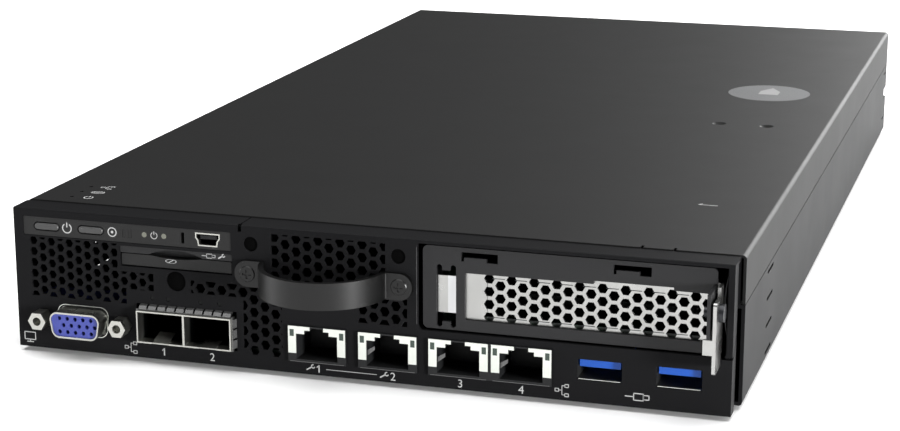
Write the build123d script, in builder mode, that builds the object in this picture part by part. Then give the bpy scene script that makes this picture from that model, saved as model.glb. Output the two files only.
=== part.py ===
from build123d import *

import os
from math import cos, radians, sin, sqrt

os.makedirs("parts", exist_ok=True)

# Driving dimensions of the whole unit: half a rack wide, one rack unit high on its feet
BODY_WIDTH = 209.0
BODY_DEPTH = 376.0
BODY_HEIGHT = 41.7
FOOT_HEIGHT = 1.5
HANDLE_REACH = 17.5

# Sheet metal of the tray, the front and the cover
SHEET = 1.0
COVER_SHEET = 0.8
COVER_SIDE_GAP = 0.6
COVER_TOP_GAP = 0.5
COVER_START = 9.1
COVER_BEND = 1.2
SEAM_HEIGHT = 28.3
SEAM_GAP = 0.3
WALL_START = 9.5
POST_DEPTH = 26.6
TRAY_BEND = 1.0
STRIP_DROP = 0.3
STRIP_GAP = 0.4
TONGUE_DEPTH = 15.6
RELIEF = 0.4
RELIEF_NOTCH = 1.5
RELIEF_SHIFT = 2.4

# Places that follow from the overall sizes, in the front's own frame
FRONT_Y = (HANDLE_REACH - BODY_DEPTH) / 2
HALF_WIDTH = BODY_WIDTH / 2
LEFT = -HALF_WIDTH
COVER_UNDER = BODY_HEIGHT - COVER_SHEET
LIP_TOP = COVER_UNDER - COVER_TOP_GAP
LIP_OUT = HALF_WIDTH - COVER_SHEET - COVER_SIDE_GAP
LIP_IN = LIP_OUT - SHEET
POST_IN = LIP_IN - SHEET
STRIP_TOP = BODY_HEIGHT - STRIP_DROP
STRIP_UNDER = STRIP_TOP - SHEET
STRIP_END = COVER_START - STRIP_GAP
FIT = 0.1
RUNNING_GAP = 0.35

# Cover hooks and their stepped slots in the tray's lips
COVER_TRAVEL = 12.0
HOOK_PLACES = (60.0, 190.0, 320.0)
HOOK_LENGTH = 6.0
HOOK_THICK = 0.8
HOOK_REACH = 3.0
HOOK_DROP = 7.5
HOOK_GAP = 0.5

# Vent slots in the tray's sides
SLOT_LENGTH = 10.5
SLOT_WIDTH = 1.0
SLOT_Y = 53.2
SLOT_FIRST = 2.4
SLOT_PITCH = 7.95
SLOT_COUNT = 4

# Slots and notch at the rear of the tray's sides
REAR_SLOT_LENGTH = 6.0
REAR_SLOT_WIDTH = 0.9
REAR_SLOT_INSET = 5.0
REAR_SLOT_HEIGHTS = (5.9, 25.0)
REAR_NOTCH_DEPTH = 8.0
REAR_NOTCH_BASE = 14.5
REAR_NOTCH_HEIGHT = 4.2

# Feet
FOOT_RADIUS = 5.5
FOOT_EDGE = 0.3
FOOT_INSET_SIDE = 18.0
FOOT_INSET_END = 25.0

# Cover details
PAD_RADIUS = 14.7
PAD_THICK = 0.3
PAD_X = HALF_WIDTH - 28.0
PAD_Y = 229.0
SINK_SPACING = 16.0
SINK_Y = 171.5
SINK_HOLE = 1.1
SINK_RADIUS = 2.4
LAMP_HOLE = 0.6
LAMP_INSET = 11.0
LAMP_PLACES = (15.0, 21.3, 27.5)
COVER_TICK = 0.8
COVER_TICK_DEPTH = 1.8
COVER_TICK_PITCH = 8.8

# Board level inside
STANDOFF_HEIGHT = 2.6
STANDOFF_RADIUS = 2.5
BOARD_THICK = 1.6
BOARD_FRONT = 3.0
BOARD_REAR = 300.0
BOARD_MARGIN = 4.0
BOARD_HOLE = 1.7
BOARD_HOLE_INSET = 10.0
BOARD_ROWS = (20.0, 136.0, 290.0)
POWER_MARGIN = 5.0
POWER_HOLE_Y = 325.0
BOARD_UNDER = SHEET + STANDOFF_HEIGHT
BOARD_TOP = BOARD_UNDER + BOARD_THICK

# Operator strip at the upper left
STRIP_INSET = 2.9
OPERATOR_WIDTH = 64.1
OPERATOR_HEIGHT = 5.6
OPERATOR_DROP = 1.3
BEZEL_RIM = 0.6
BEZEL_FACE = 0.2
BEZEL_BACK = 2.2
BUTTON_WIDTH = 7.5
BUTTON_HEIGHT = 1.9
BUTTON_PROUD = 0.3
BUTTON_TRAVEL = 0.8
BUTTON_FLANGE = 1.0
BUTTON_FLANGE_THICK = 0.8
POWER_PLACE = 7.4
ID_PLACE = 21.2
LENS_WIDTH = 1.1
LENS_HEIGHT = 2.5
LENS_PLACE = 32.5
LENS_PITCH = 1.7
STATUS_RADIUS = 0.75
STATUS_PLACE = 40.8
STATUS_PITCH = 6.0
KEY_SLOT_WIDTH = 1.0
KEY_SLOT_HEIGHT = 3.2
KEY_SLOT_PLACE = 49.5
OPERATOR_BOARD_Y = 7.0
OPERATOR_BOARD_THICK = 1.2
SWITCH_THICK = 0.7
OPERATOR_X = LEFT + STRIP_INSET
OPERATOR_END = OPERATOR_X + OPERATOR_WIDTH
OPERATOR_TOP = STRIP_UNDER - OPERATOR_DROP
OPERATOR_BASE = OPERATOR_TOP - OPERATOR_HEIGHT
OPERATOR_Z = (OPERATOR_TOP + OPERATOR_BASE) / 2

# Service socket in the operator strip
SERVICE_WIDTH = 7.4
SERVICE_WALL = 0.35
SERVICE_HALF = ((3.7, 1.9), (3.7, 0.4), (3.1, -0.4), (2.9, -1.9))
SERVICE_PLACE = 57.05
SERVICE_TONGUE = 1.0
SERVICE_X = OPERATOR_X + SERVICE_PLACE
SERVICE_OUTLINE = [(SERVICE_X + x, OPERATOR_Z + z) for x, z in SERVICE_HALF]
SERVICE_OUTLINE += [(SERVICE_X - x, OPERATOR_Z + z) for x, z in reversed(SERVICE_HALF)]

# Information tab that pulls out below the strip
TAB_WIDTH = 34.2
TAB_DROP = 0.8
TAB_LIP = 2.0
TAB_BAR_HEIGHT = 4.0
TAB_BAR_DEPTH = 2.2
TAB_PLATE = 1.6
TAB_LENGTH = 58.0
TAB_LUG = 1.0
TAB_GUIDE = 10.0
TAB_WALL = 1.0
TAB_SCOOP_RADIUS = 21.0
TAB_SCOOP_DEPTH = 1.7
TAB_SCOOP_SET = 2.6
TAB_NOTCH_RADIUS = 46.0
TAB_NOTCH_DEPTH = 0.6
TAB_X1 = OPERATOR_END + 0.2
TAB_X0 = TAB_X1 - TAB_WIDTH
TAB_X = (TAB_X0 + TAB_X1) / 2
TAB_TOP = OPERATOR_BASE - TAB_DROP
TAB_LIP_UNDER = TAB_TOP - TAB_LIP
TAB_BASE = TAB_LIP_UNDER - TAB_BAR_HEIGHT

# Video connector
VGA_X = LEFT + 20.7
VGA_Z = 9.2
VGA_WIDTH = 16.3
VGA_HEIGHT = 7.6
VGA_CORNER = 2.4
VGA_SLOPE = 80.0
VGA_WALL = 0.5
VGA_REACH = 5.8
VGA_FLANGE = 0.8
VGA_FLANGE_WIDTH = 31.0
VGA_FLANGE_HEIGHT = 12.0
VGA_BLOCK_WIDTH = 29.0
VGA_BLOCK_DEPTH = 10.0
VGA_PIN_PITCH = 2.45
VGA_ROW_PITCH = 1.98
VGA_PIN_RADIUS = 0.65
VGA_PIN_DEPTH = 4.0
JACKSCREW_SPACING = 25.0
JACKSCREW_FLATS = 4.8
JACKSCREW_REACH = 4.6
JACKSCREW_SHANK = 1.5
JACKSCREW_LENGTH = 2.2
JACKSCREW_BORE = 1.25
JACKSCREW_DEPTH = 4.0

# Cage for two pluggable optical modules
CAGE_X = LEFT + 52.9
CAGE_REACH = 2.5
CAGE_DEPTH = 44.5
CAGE_PORT_WIDTH = 13.7
CAGE_PORT_HEIGHT = 8.65
CAGE_WALL = 0.4
CAGE_DIVIDER = 0.6
CAGE_GAP_SIDE = 0.9
CAGE_GAP_TOP = 1.5
CAGE_GAP_BASE = 0.5
CAGE_LATCH = 5.0
CAGE_LATCH_CUT = 2.2
CAGE_WIDTH = 2 * CAGE_PORT_WIDTH + CAGE_DIVIDER + 2 * CAGE_WALL
CAGE_HEIGHT = CAGE_PORT_HEIGHT + 2 * CAGE_WALL
CAGE_TOP = BOARD_TOP + CAGE_HEIGHT
CAGE_PORT_PLACES = [CAGE_X + side * (CAGE_PORT_WIDTH + CAGE_DIVIDER) / 2 for side in (-1, 1)]
BAND = 0.3
BAND_FRONT = -1.6
BAND_BACK = -0.8
FINGER_CREST = -0.9
FINGER_FALL = 0.35
FINGER_WIDTH = 2.3
FINGER_PITCH = 2.85
FINGER_COUNT = 10
SIDE_FINGER_WIDTH = 2.4
SIDE_FINGER_PITCH = 3.0
SIDE_FINGER_COUNT = 3
MODULE_PLUG_WIDTH = 11.5
MODULE_PLUG_HEIGHT = 6.4
MODULE_PLUG_DEPTH = 8.0
MODULE_SLOT_WIDTH = 9.9
MODULE_SLOT_HEIGHT = 1.4
LAMP_ROW_Z = 18.0
LAMP_ROW_RADIUS = 0.6
LAMP_ROW_PLACES = (-10.3, -5.5, 4.4, 10.2)
LAMP_BAR = 1.2
LAMP_BAR_BACK = 46.5

# Network jacks
JACK_WIDTH = 17.0
JACK_PAIR_PITCH = 17.7
JACK_BASE = 3.6
JACK_TOP = 14.0
JACK_PROUD = 0.6
JACK_DEPTH = 14.0
JACK_CAVITY_DEPTH = 11.5
JACK_STEPS = ((12.1, 4.4, 11.8), (7.2, 11.0, 12.9), (4.0, 12.0, 13.6))
JACK_LAMP_X = 7.3
JACK_LAMP_Z = 11.9
JACK_LAMP_WIDTH = 1.3
JACK_LAMP_HEIGHT = 2.0
JACK_LAMP_DEPTH = 0.6
JACK_1_X = LEFT + 92.2
JACK_2_X = LEFT + 112.8
JACK_PAIR_X = LEFT + 141.9

# Serial-bus sockets
USB_WIDTH = 13.0
USB_HEIGHT = 6.4
USB_WALL = 0.3
USB_DEPTH = 14.0
USB_BASE = 5.95
USB_SET = 1.1
USB_TONGUE_WIDTH = 11.2
USB_TONGUE_THICK = 1.9
USB_TONGUE_DROP = 0.5
USB_TONGUE_BACK = 0.3
USB_BLOCK = 2.0
USB_PLACES = (LIP_OUT - 35.5, LIP_OUT - 14.0)

# Carrying handle
HANDLE_X = LEFT + 94.4
HANDLE_Z = 28.0
HANDLE_BAND = 7.5
HANDLE_THICK = 1.5
HANDLE_RADIUS = 18.4
HANDLE_ROOT = 1.5
HANDLE_SCREW_SPACING = 44.2
SCREW_RADIUS = 2.3
SCREW_PROUD = 0.3
SCREW_SHANK = 1.4
SCREW_LENGTH = 3.4
SCREW_HEAD = 1.4
SCREW_EDGE = 0.2
CROSS_LENGTH = 2.6
CROSS_WIDTH = 0.6
CROSS_DEPTH = 0.25

# Round plugs in the front
PLUG_SET = 0.4
PLUG_HEAD = 0.8
SMALL_PLUG = 2.1
LARGE_PLUG = 2.9
SMALL_PLUG_SPREAD = 21.5
SMALL_PLUG_Z = STRIP_UNDER - 4.2
LARGE_PLUG_X = TAB_X
LARGE_PLUG_Z = TAB_BASE - 3.2

# Hexagonal perforations: rows, across flats
LEFT_ROW_PITCH = 3.24
LEFT_FLATS = 2.35
LEFT_GRID_X = LEFT + 5.9
LEFT_GRID_Z = 15.8
LEFT_GRID_EDGE = 0.2
MAIN_ROW_PITCH = 3.7
MAIN_FLATS = 2.7
MAIN_GRID_Z = 5.4
FIELD_EDGE = 0.8
FIELD_BASE = 20.0
FIELD_LEFT = 15.6
FIELD_RIGHT = 17.8

# Expansion bay at the right
BAY_X0 = LEFT + 121.4
BAY_X1 = LIP_OUT - 1.6
BAY_BASE = 16.0
BAY_CORNER = 1.5
FLANGE_DEPTH = 5.0
SEAM = 0.5
SEAM_TURN = 1.5
SEAM_RISE = 5.5

# Expansion cage and what it holds
CAGE_PLATE_X0 = BAY_X0 + 1.3
CAGE_PLATE_X1 = BAY_X1 - 3.1
CAGE_PLATE_BASE = BAY_BASE + 0.6
CAGE_PLATE_TOP = STRIP_UNDER - 0.5
CAGE_PLATE_Y = 0.8
CAGE_PLATE = 1.0
CAGE_SIDE_DEPTH = 120.0
BRACKET_SHEET = 0.9
BRACKET_WIDTH = 18.4
BRACKET_BASE = 17.4
BRACKET_TONGUE = 5.3
BRACKET_TONGUE_HEIGHT = 10.4
BRACKET_STEP = 6.7
BRACKET_FLANGE = 11.4
BRACKET_ROW_PITCH = 3.6
BRACKET_FLATS = 2.6
BRACKET_COLUMNS = 20
BRACKET_ROWS = 4
BRACKET_PLAIN = 6.6
FLANGE_NECK = 1.2
FLANGE_DROP = 3.5
FLANGE_GAP = 0.7
FLANGE_TOP = 33.2
FLANGE_SHOULDER = 2.6
FLANGE_LIP = 1.8
FLANGE_LIP_HEIGHT = 4.1
HOOK_SLOT_PLACES = (10.8, 52.6)
HOOK_SLOT_WIDTH = 10.2
HOOK_SLOT_HEIGHT = 2.6
HOOK_SLOT_BAND = 1.5
HOOK_SLOT_LEG = 0.8
HOOK_SLOT_FOOT = 3.2
HOOK_SLOT_DROP = 1.2
WINDOW_INSET = 6.6
WINDOW_WIDTH = 5.5
WINDOW_HEIGHT = 17.6
WINDOW_DROP = 0.3
WINDOW_EAR = 1.6
WINDOW_PRONG = 1.6
OPENING_INSET = 11.8
OPENING_MARGIN = 2.0
OPENING_HEIGHT = 13.2
OPENING_BASE = 19.7
OPENING_CORNER = 0.5
OPENING_STEP_PLACE = 35.5
OPENING_STEP_WIDTH = 21.5
OPENING_STEP_RISE = 0.9
EAR_THICK = 0.9
EAR_BASE = 23.4
EAR_TOP = 35.4
BRACKET_SCREW_HEAD = 2.4
BRACKET_SCREW_PROUD = 1.4
BRACKET_SCREW_Z = 29.6

# Riser card, its slot, the expansion card and the drives on it
CARD_THICK = 1.6
RISER_START = 16.0
RISER_MARGIN = 4.0
CARD_SLOT_START = 28.0
CARD_SLOT_LENGTH = 82.0
CARD_SLOT_WIDTH = 11.0
CARD_SLOT_WALL = 3.0
DRIVE_WIDTH = 22.0
DRIVE_LENGTH = 80.0
DRIVE_THICK = 2.2
DRIVE_PITCH = 26.0

# Spring clip in the bay's right side
CLIP_THICK = 0.4
CLIP_WIDTH = 4.0
CLIP_HEIGHT = 16.0
CLIP_BASE = 22.0
CLIP_BULGE = 0.9

# Rear: fans, vents and power inlets
FAN_DEPTH = 28.0
FAN_GAP = 0.3
FAN_SPACE = 1.4
FAN_DUCT_WALL = 1.4
FAN_TIP_GAP = 0.8
FAN_HUB = 8.6
FAN_BLADES = 7
FAN_BLADE_THICK = 0.9
FAN_BLADE_CAMBER = 1.8
FAN_BLADE_LEAN = 48.0
FAN_CHORD = 15.0
FAN_SHAFT = 1.0
FAN_BEARING_GAP = 0.06
FAN_CORNER = 2.0
FAN_SPOKE = 2.2
FAN_SPOKE_DEPTH = 2.5
FAN_SLEEVE = 3.0
FAN_SLEEVE_LENGTH = 13.0
FAN_ROTOR_SET = 2.0
FAN_CUP_WALL = 1.2
FAN_LIP = 5.0
FAN_PITCH = 42.0
FAN_FIRST = LEFT + 26.0
FAN_SIZE = LIP_TOP - SHEET - FAN_SPACE
FAN_Z = SHEET + FAN_SPACE / 2 + FAN_SIZE / 2
FAN_PLACES = [FAN_FIRST + FAN_PITCH * index for index in range(3)]
REAR_ROW_PITCH = 6.2
REAR_FLATS = 5.2
REAR_FLANGE = 9.0
INLET_SIZE = 12.4
INLET_PITCH = 20.0
INLET_INSET = 42.0
INLET_DEPTH = 16.0
INLET_RIM = 1.2
INLET_SOCKET = 3.4
INLET_SOCKET_PITCH = 5.2
INLET_SOCKET_DEPTH = 8.0

# Processor, cooler and memory
COOLER_X = LEFT + 96.0
COOLER_Y = 190.0
COOLER_WIDTH = 84.0
COOLER_LENGTH = 92.0
COOLER_BASE = 4.0
COOLER_LUG = 7.0
COOLER_SCREW_HEAD = 5.0
FIN_THICK = 0.6
FIN_COUNT = 26
CHIP_SIZE = 37.5
CHIP_THICK = 3.2
CHIP_EDGE = 0.5
DUCT_DROP = 0.8
DUCT_SHEET = 0.8
DUCT_LENGTH = 155.5
DUCT_START = CAGE_SIDE_DEPTH + 2.5
MODULE_LENGTH = 133.35
MODULE_THICK = 1.3
MODULE_SEAT = 2.4
MEMORY_CHIP = 1.1
MEMORY_CHIP_WIDTH = 10.0
MEMORY_CHIP_HEIGHT = 11.0
MEMORY_CHIP_PITCH = 14.5
MEMORY_CHIP_COUNT = 8
SOCKET_WIDTH = 6.4
SOCKET_HEIGHT = 8.5
SOCKET_END = 4.3
SOCKET_GUIDE = 1.5
SOCKET_TOWER = 7.0
MEMORY_PITCH = 9.5
MEMORY_OFFSET = 52.0
MEMORY_START = 124.0
LATCH_WIDTH = 3.6
LATCH_LENGTH = 4.6
LATCH_HEIGHT = 15.0
LATCH_PIN = 0.8
LATCH_PIN_GAP = 0.06
LATCH_FOOT = 2.2
LATCH_STEM = 3.0
LATCH_TAB = 1.6
PIVOT_RISE = 4.8


def front_plane(depth=0.0):
    """Plane parallel to the front: x to the right, y up from the tray, normal to the viewer."""
    origin = (0, FRONT_Y + depth, FOOT_HEIGHT)
    return Plane(origin=origin, x_dir=(1, 0, 0), z_dir=(0, -1, 0))


def level_plane(height=0.0):
    """Level plane above the tray's underside: x to the right, y to the rear from the front."""
    origin = (0, FRONT_Y, FOOT_HEIGHT + height)
    return Plane(origin=origin, x_dir=(1, 0, 0), z_dir=(0, 0, 1))


def side_plane(place=0.0):
    """Upright plane seen from the right: x to the rear from the front, y up, normal to the right."""
    origin = (place, FRONT_Y, FOOT_HEIGHT)
    return Plane(origin=origin, x_dir=(0, 1, 0), z_dir=(1, 0, 0))


def span(x0, x1, y0, y1, radius=0.0, mode=Mode.ADD):
    """Rectangle between two corners of the open sketch, rounded where a radius is given."""
    with Locations(((x0 + x1) / 2, (y0 + y1) / 2)):
        if radius > 0:
            RectangleRounded(x1 - x0, y1 - y0, radius, mode=mode)
        else:
            Rectangle(x1 - x0, y1 - y0, mode=mode)


def hexagons(x0, z0, row_pitch, across_flats, columns, rows, short=0):
    """Staggered columns of flat-topped hexagons, the first at (x0, z0), odd ones short by some rows."""
    column_pitch = row_pitch * sqrt(3) / 2
    for column in range(columns):
        shift = row_pitch / 2 * (column % 2)
        count = rows - short * (column % 2)
        places = [(x0 + column * column_pitch, z0 + shift + row * row_pitch) for row in range(count)]
        with Locations(*places):
            RegularPolygon(across_flats / 2, 6, major_radius=False)


def write(part, label):
    """Label a finished piece and write it as its own file."""
    part.label = label
    export_step(part, f"parts/{label}.step")


# Chassis tray: floor, side walls and the inset lips that the cover closes over
with BuildPart() as chassis_tray:
    step = SEAM_HEIGHT - SEAM_GAP
    with BuildSketch(front_plane(WALL_START)):
        with BuildLine():
            half = Polyline(
                (0, 0),
                (HALF_WIDTH, 0),
                (HALF_WIDTH, step),
                (LIP_OUT, step),
                (LIP_OUT, LIP_TOP),
                (LIP_IN, LIP_TOP),
                (LIP_IN, step - SHEET),
                (HALF_WIDTH - SHEET, step - SHEET),
                (HALF_WIDTH - SHEET, SHEET),
                (0, SHEET),
            )
            mirror(half, about=Plane.YZ)
        make_face()
    extrude(amount=WALL_START - BODY_DEPTH)
    fillet(chassis_tray.edges().filter_by(Axis.Y).group_by(Axis.Z)[0], TRAY_BEND)
    with BuildSketch(level_plane()):
        span(LEFT + SHEET, LIP_IN, SHEET, WALL_START)
    extrude(amount=SHEET)
    with BuildSketch(level_plane(SHEET)):
        span(POST_IN, LIP_IN, SHEET, POST_DEPTH)
        span(LEFT + SHEET, -LIP_IN, SHEET, POST_DEPTH)
    extrude(amount=LIP_TOP - SHEET)
    for wall in (LEFT, HALF_WIDTH - SHEET):
        with BuildSketch(side_plane(wall)):
            with Locations((SLOT_Y, SLOT_FIRST + SLOT_PITCH * (SLOT_COUNT - 1) / 2)):
                with GridLocations(1, SLOT_PITCH, 1, SLOT_COUNT):
                    SlotOverall(SLOT_LENGTH, SLOT_WIDTH)
            top = REAR_NOTCH_BASE + REAR_NOTCH_HEIGHT
            span(BODY_DEPTH - REAR_NOTCH_DEPTH, BODY_DEPTH, REAR_NOTCH_BASE, top)
            rear = BODY_DEPTH - REAR_SLOT_INSET
            for height in REAR_SLOT_HEIGHTS:
                span(rear - REAR_SLOT_LENGTH, rear, height, height + REAR_SLOT_WIDTH)
        extrude(amount=SHEET, mode=Mode.SUBTRACT)
    hook_z = LIP_TOP - HOOK_DROP + HOOK_GAP
    for lip in (-LIP_OUT, LIP_IN):
        with BuildSketch(side_plane(lip)):
            for place in HOOK_PLACES:
                end = place + COVER_TRAVEL + HOOK_LENGTH + HOOK_GAP
                span(place - HOOK_GAP, end, hook_z - HOOK_THICK - 2 * HOOK_GAP, hook_z)
                span(place + COVER_TRAVEL - HOOK_GAP, end, hook_z - HOOK_GAP, LIP_TOP)
        extrude(amount=SHEET, mode=Mode.SUBTRACT)
write(chassis_tray.part, "chassis_tray")

# Feet: four thin rubber discs stuck under the floor
with BuildPart() as feet:
    with BuildSketch(level_plane(-FOOT_HEIGHT)):
        with Locations((0, BODY_DEPTH / 2)):
            with GridLocations(BODY_WIDTH - 2 * FOOT_INSET_SIDE, BODY_DEPTH - 2 * FOOT_INSET_END, 2, 2):
                Circle(FOOT_RADIUS)
    extrude(amount=FOOT_HEIGHT)
    chamfer(feet.edges().group_by(Axis.Z)[0], FOOT_EDGE)
write(feet.part, "feet")

# Top cover: bent over both sides, with three hooks a side
with BuildPart() as top_cover:
    with BuildSketch(front_plane(COVER_START)):
        with BuildLine():
            half = Polyline(
                (0, BODY_HEIGHT),
                (HALF_WIDTH, BODY_HEIGHT),
                (HALF_WIDTH, SEAM_HEIGHT),
                (HALF_WIDTH - COVER_SHEET, SEAM_HEIGHT),
                (HALF_WIDTH - COVER_SHEET, COVER_UNDER),
                (0, COVER_UNDER),
            )
            mirror(half, about=Plane.YZ)
        make_face()
    extrude(amount=COVER_START - BODY_DEPTH)
    fillet(top_cover.edges().filter_by(Axis.Y).group_by(Axis.Z)[-1], COVER_BEND)
    for side in (-1, 1):
        inner = side * (HALF_WIDTH - COVER_SHEET)
        with BuildSketch(side_plane(inner)):
            for place in HOOK_PLACES:
                top = LIP_TOP - HOOK_DROP
                span(place, place + HOOK_LENGTH, top - HOOK_THICK, top)
        extrude(amount=-side * HOOK_REACH)
    with BuildSketch(level_plane(BODY_HEIGHT)):
        with Locations((PAD_X, PAD_Y)):
            Circle(PAD_RADIUS)
    extrude(amount=-PAD_THICK, mode=Mode.SUBTRACT)
    with BuildSketch(level_plane(BODY_HEIGHT)):
        with Locations(*[(LEFT + LAMP_INSET, place) for place in LAMP_PLACES]):
            Circle(LAMP_HOLE)
        for place in (PAD_X, PAD_X + COVER_TICK_PITCH):
            half = COVER_TICK / 2
            span(place - half, place + half, COVER_START, COVER_START + COVER_TICK_DEPTH)
    extrude(amount=-COVER_SHEET, mode=Mode.SUBTRACT)
    with Locations(level_plane(BODY_HEIGHT)):
        with Locations(*[(PAD_X + side * SINK_SPACING / 2, SINK_Y) for side in (-1, 1)]):
            CounterSinkHole(SINK_HOLE, SINK_RADIUS, COVER_SHEET, counter_sink_angle=120)
write(top_cover.part, "top_cover")

# Grip pad: let flush into the cover
with BuildPart() as grip_pad:
    with BuildSketch(level_plane(BODY_HEIGHT - PAD_THICK)):
        with Locations((PAD_X, PAD_Y)):
            Circle(PAD_RADIUS - FIT)
    extrude(amount=PAD_THICK)
write(grip_pad.part, "grip_pad")

# Regions of the front's two perforated fields
USB_TOP = USB_BASE + USB_HEIGHT
with BuildSketch(front_plane()) as left_region:
    field_x = LEFT_GRID_X - LEFT_FLATS / 2
    under_tab = TAB_BASE - 2 * FIELD_EDGE
    span(field_x, TAB_X0 - FIELD_EDGE, LEFT_GRID_Z - LEFT_GRID_EDGE, OPERATOR_BASE - FIELD_EDGE / 2)
    span(field_x, TAB_X0 + 2 * FIELD_EDGE, LEFT_GRID_Z - LEFT_GRID_EDGE, under_tab)
    span(TAB_X0 - 2, LARGE_PLUG_X - 2.4 * LARGE_PLUG, FIELD_BASE, under_tab)
with BuildSketch(front_plane()) as main_region:
    field_x = HANDLE_X - FIELD_LEFT
    band_under = HANDLE_Z - HANDLE_BAND / 2
    span(field_x, HANDLE_X + FIELD_RIGHT, band_under, STRIP_UNDER - FIELD_EDGE)
    span(field_x - 8.7, field_x + 3.0, JACK_BASE + 0.4, band_under)
    span(LARGE_PLUG_X + 1.5 * LARGE_PLUG, field_x, FIELD_BASE + 0.5, band_under)
    span(HANDLE_X + 9.8, BAY_X0 - 3.0, JACK_TOP + 2.4, band_under)
with BuildSketch(front_plane()) as perforations:
    hexagons(LEFT_GRID_X, LEFT_GRID_Z, LEFT_ROW_PITCH, LEFT_FLATS, 14, 6)
    add(left_region.sketch_local, mode=Mode.INTERSECT)
with BuildSketch(front_plane()) as main_perforations:
    main_pitch = MAIN_ROW_PITCH * sqrt(3) / 2
    hexagons(HANDLE_X - 14.6 - 8 * main_pitch, MAIN_GRID_Z, MAIN_ROW_PITCH, MAIN_FLATS, 21, 10)
    add(main_region.sketch_local, mode=Mode.INTERSECT)

# Front panel: one sheet with a bent top strip, a joggled tongue under the cover and side flanges
with BuildPart() as front_panel:
    with BuildSketch(side_plane(LEFT)):
        with BuildLine():
            Polyline(
                (0, 0),
                (SHEET, 0),
                (SHEET, STRIP_UNDER),
                (STRIP_END, STRIP_UNDER),
                (STRIP_END, STRIP_TOP),
                (0, STRIP_TOP),
                close=True,
            )
        make_face()
    extrude(amount=LIP_OUT - LEFT)
    with BuildSketch(side_plane(LEFT)):
        span(SHEET, STRIP_END, 0, STRIP_UNDER)
    extrude(amount=SHEET)
    with BuildSketch(side_plane(LIP_IN)):
        span(SHEET, FLANGE_DEPTH, 0, STRIP_UNDER)
    extrude(amount=SHEET)
    fillet(front_panel.edges().filter_by(Axis.X).group_by(Axis.Y)[0].sort_by(Axis.Z)[-1], 0.5)
    with BuildSketch(side_plane(POST_IN - FIT)):
        span(STRIP_END - SHEET, STRIP_END, LIP_TOP - SHEET, STRIP_UNDER)
        span(STRIP_END, TONGUE_DEPTH, LIP_TOP - SHEET, LIP_TOP)
    extrude(amount=-2 * (POST_IN - FIT))
    with BuildSketch(level_plane(STRIP_TOP)):
        relief_x = OPERATOR_END + RELIEF_SHIFT
        span(relief_x, relief_x + RELIEF, 0, TONGUE_DEPTH)
        span(relief_x - RELIEF, relief_x + 2 * RELIEF, 0, RELIEF_NOTCH)
    extrude(amount=-2 * SHEET, mode=Mode.SUBTRACT)
    with BuildSketch(front_plane()):
        span(OPERATOR_X, OPERATOR_END, OPERATOR_BASE, OPERATOR_TOP, 0.6)
        span(TAB_X0, TAB_X1, TAB_BASE, TAB_TOP, 0.4)
        with Locations((LARGE_PLUG_X, LARGE_PLUG_Z)):
            Circle(LARGE_PLUG)
        with Locations(*[(HANDLE_X + side * SMALL_PLUG_SPREAD, SMALL_PLUG_Z) for side in (-1, 1)]):
            Circle(SMALL_PLUG)
        with Locations(*[(VGA_X + side * JACKSCREW_SPACING / 2, VGA_Z) for side in (-1, 1)]):
            Circle(JACKSCREW_SHANK + FIT)
        with Locations(*[(HANDLE_X + side * HANDLE_SCREW_SPACING / 2, HANDLE_Z) for side in (-1, 1)]):
            Circle(SCREW_SHANK + FIT)
        with Locations(*[(CAGE_X + place, LAMP_ROW_Z) for place in LAMP_ROW_PLACES]):
            Circle(LAMP_ROW_RADIUS + FIT)
        side = CAGE_WIDTH / 2 + CAGE_GAP_SIDE
        span(CAGE_X - side, CAGE_X + side, BOARD_TOP - CAGE_GAP_BASE, CAGE_TOP + CAGE_GAP_TOP)
        for place, width in (
            (JACK_1_X, JACK_WIDTH),
            (JACK_2_X, JACK_WIDTH),
            (JACK_PAIR_X, JACK_WIDTH + JACK_PAIR_PITCH),
        ):
            half = width / 2 + FIT
            span(place - half, place + half, JACK_BASE - FIT, JACK_TOP + FIT)
        for place in USB_PLACES:
            half = USB_WIDTH / 2 - USB_WALL
            span(place - half, place + half, USB_BASE + USB_WALL, USB_TOP - USB_WALL, 0.3)
        span(BAY_X0, BAY_X1, BAY_BASE, STRIP_UNDER - BAY_CORNER, BAY_CORNER)
        span(BAY_X0, BAY_X1, BAY_BASE + 2 * BAY_CORNER, STRIP_UNDER)
        add(perforations.sketch_local)
        add(main_perforations.sketch_local)
    extrude(amount=-SHEET, mode=Mode.SUBTRACT)
    with BuildSketch(front_plane()) as video_hole:
        with Locations((VGA_X, VGA_Z)):
            Trapezoid(VGA_WIDTH + 4 * FIT, VGA_HEIGHT + 4 * FIT, VGA_SLOPE, rotation=180)
        fillet(video_hole.vertices(), VGA_CORNER)
    extrude(amount=-SHEET, mode=Mode.SUBTRACT)
    with BuildSketch(side_plane(BAY_X1 - BAY_CORNER)):
        with BuildLine():
            Polyline(
                (-SEAM, BAY_BASE - SEAM),
                (SEAM_TURN, BAY_BASE - SEAM),
                (FLANGE_DEPTH + SEAM, BAY_BASE + SEAM_RISE),
                (FLANGE_DEPTH + SEAM, BAY_BASE + SEAM_RISE + 2 * SEAM),
                (SEAM_TURN, BAY_BASE + SEAM / 2),
                (-SEAM, BAY_BASE + SEAM / 2),
                close=True,
            )
        make_face()
    extrude(amount=LIP_OUT - BAY_X1 + BAY_CORNER + SEAM, mode=Mode.SUBTRACT)
write(front_panel.part, "front_panel")

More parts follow.
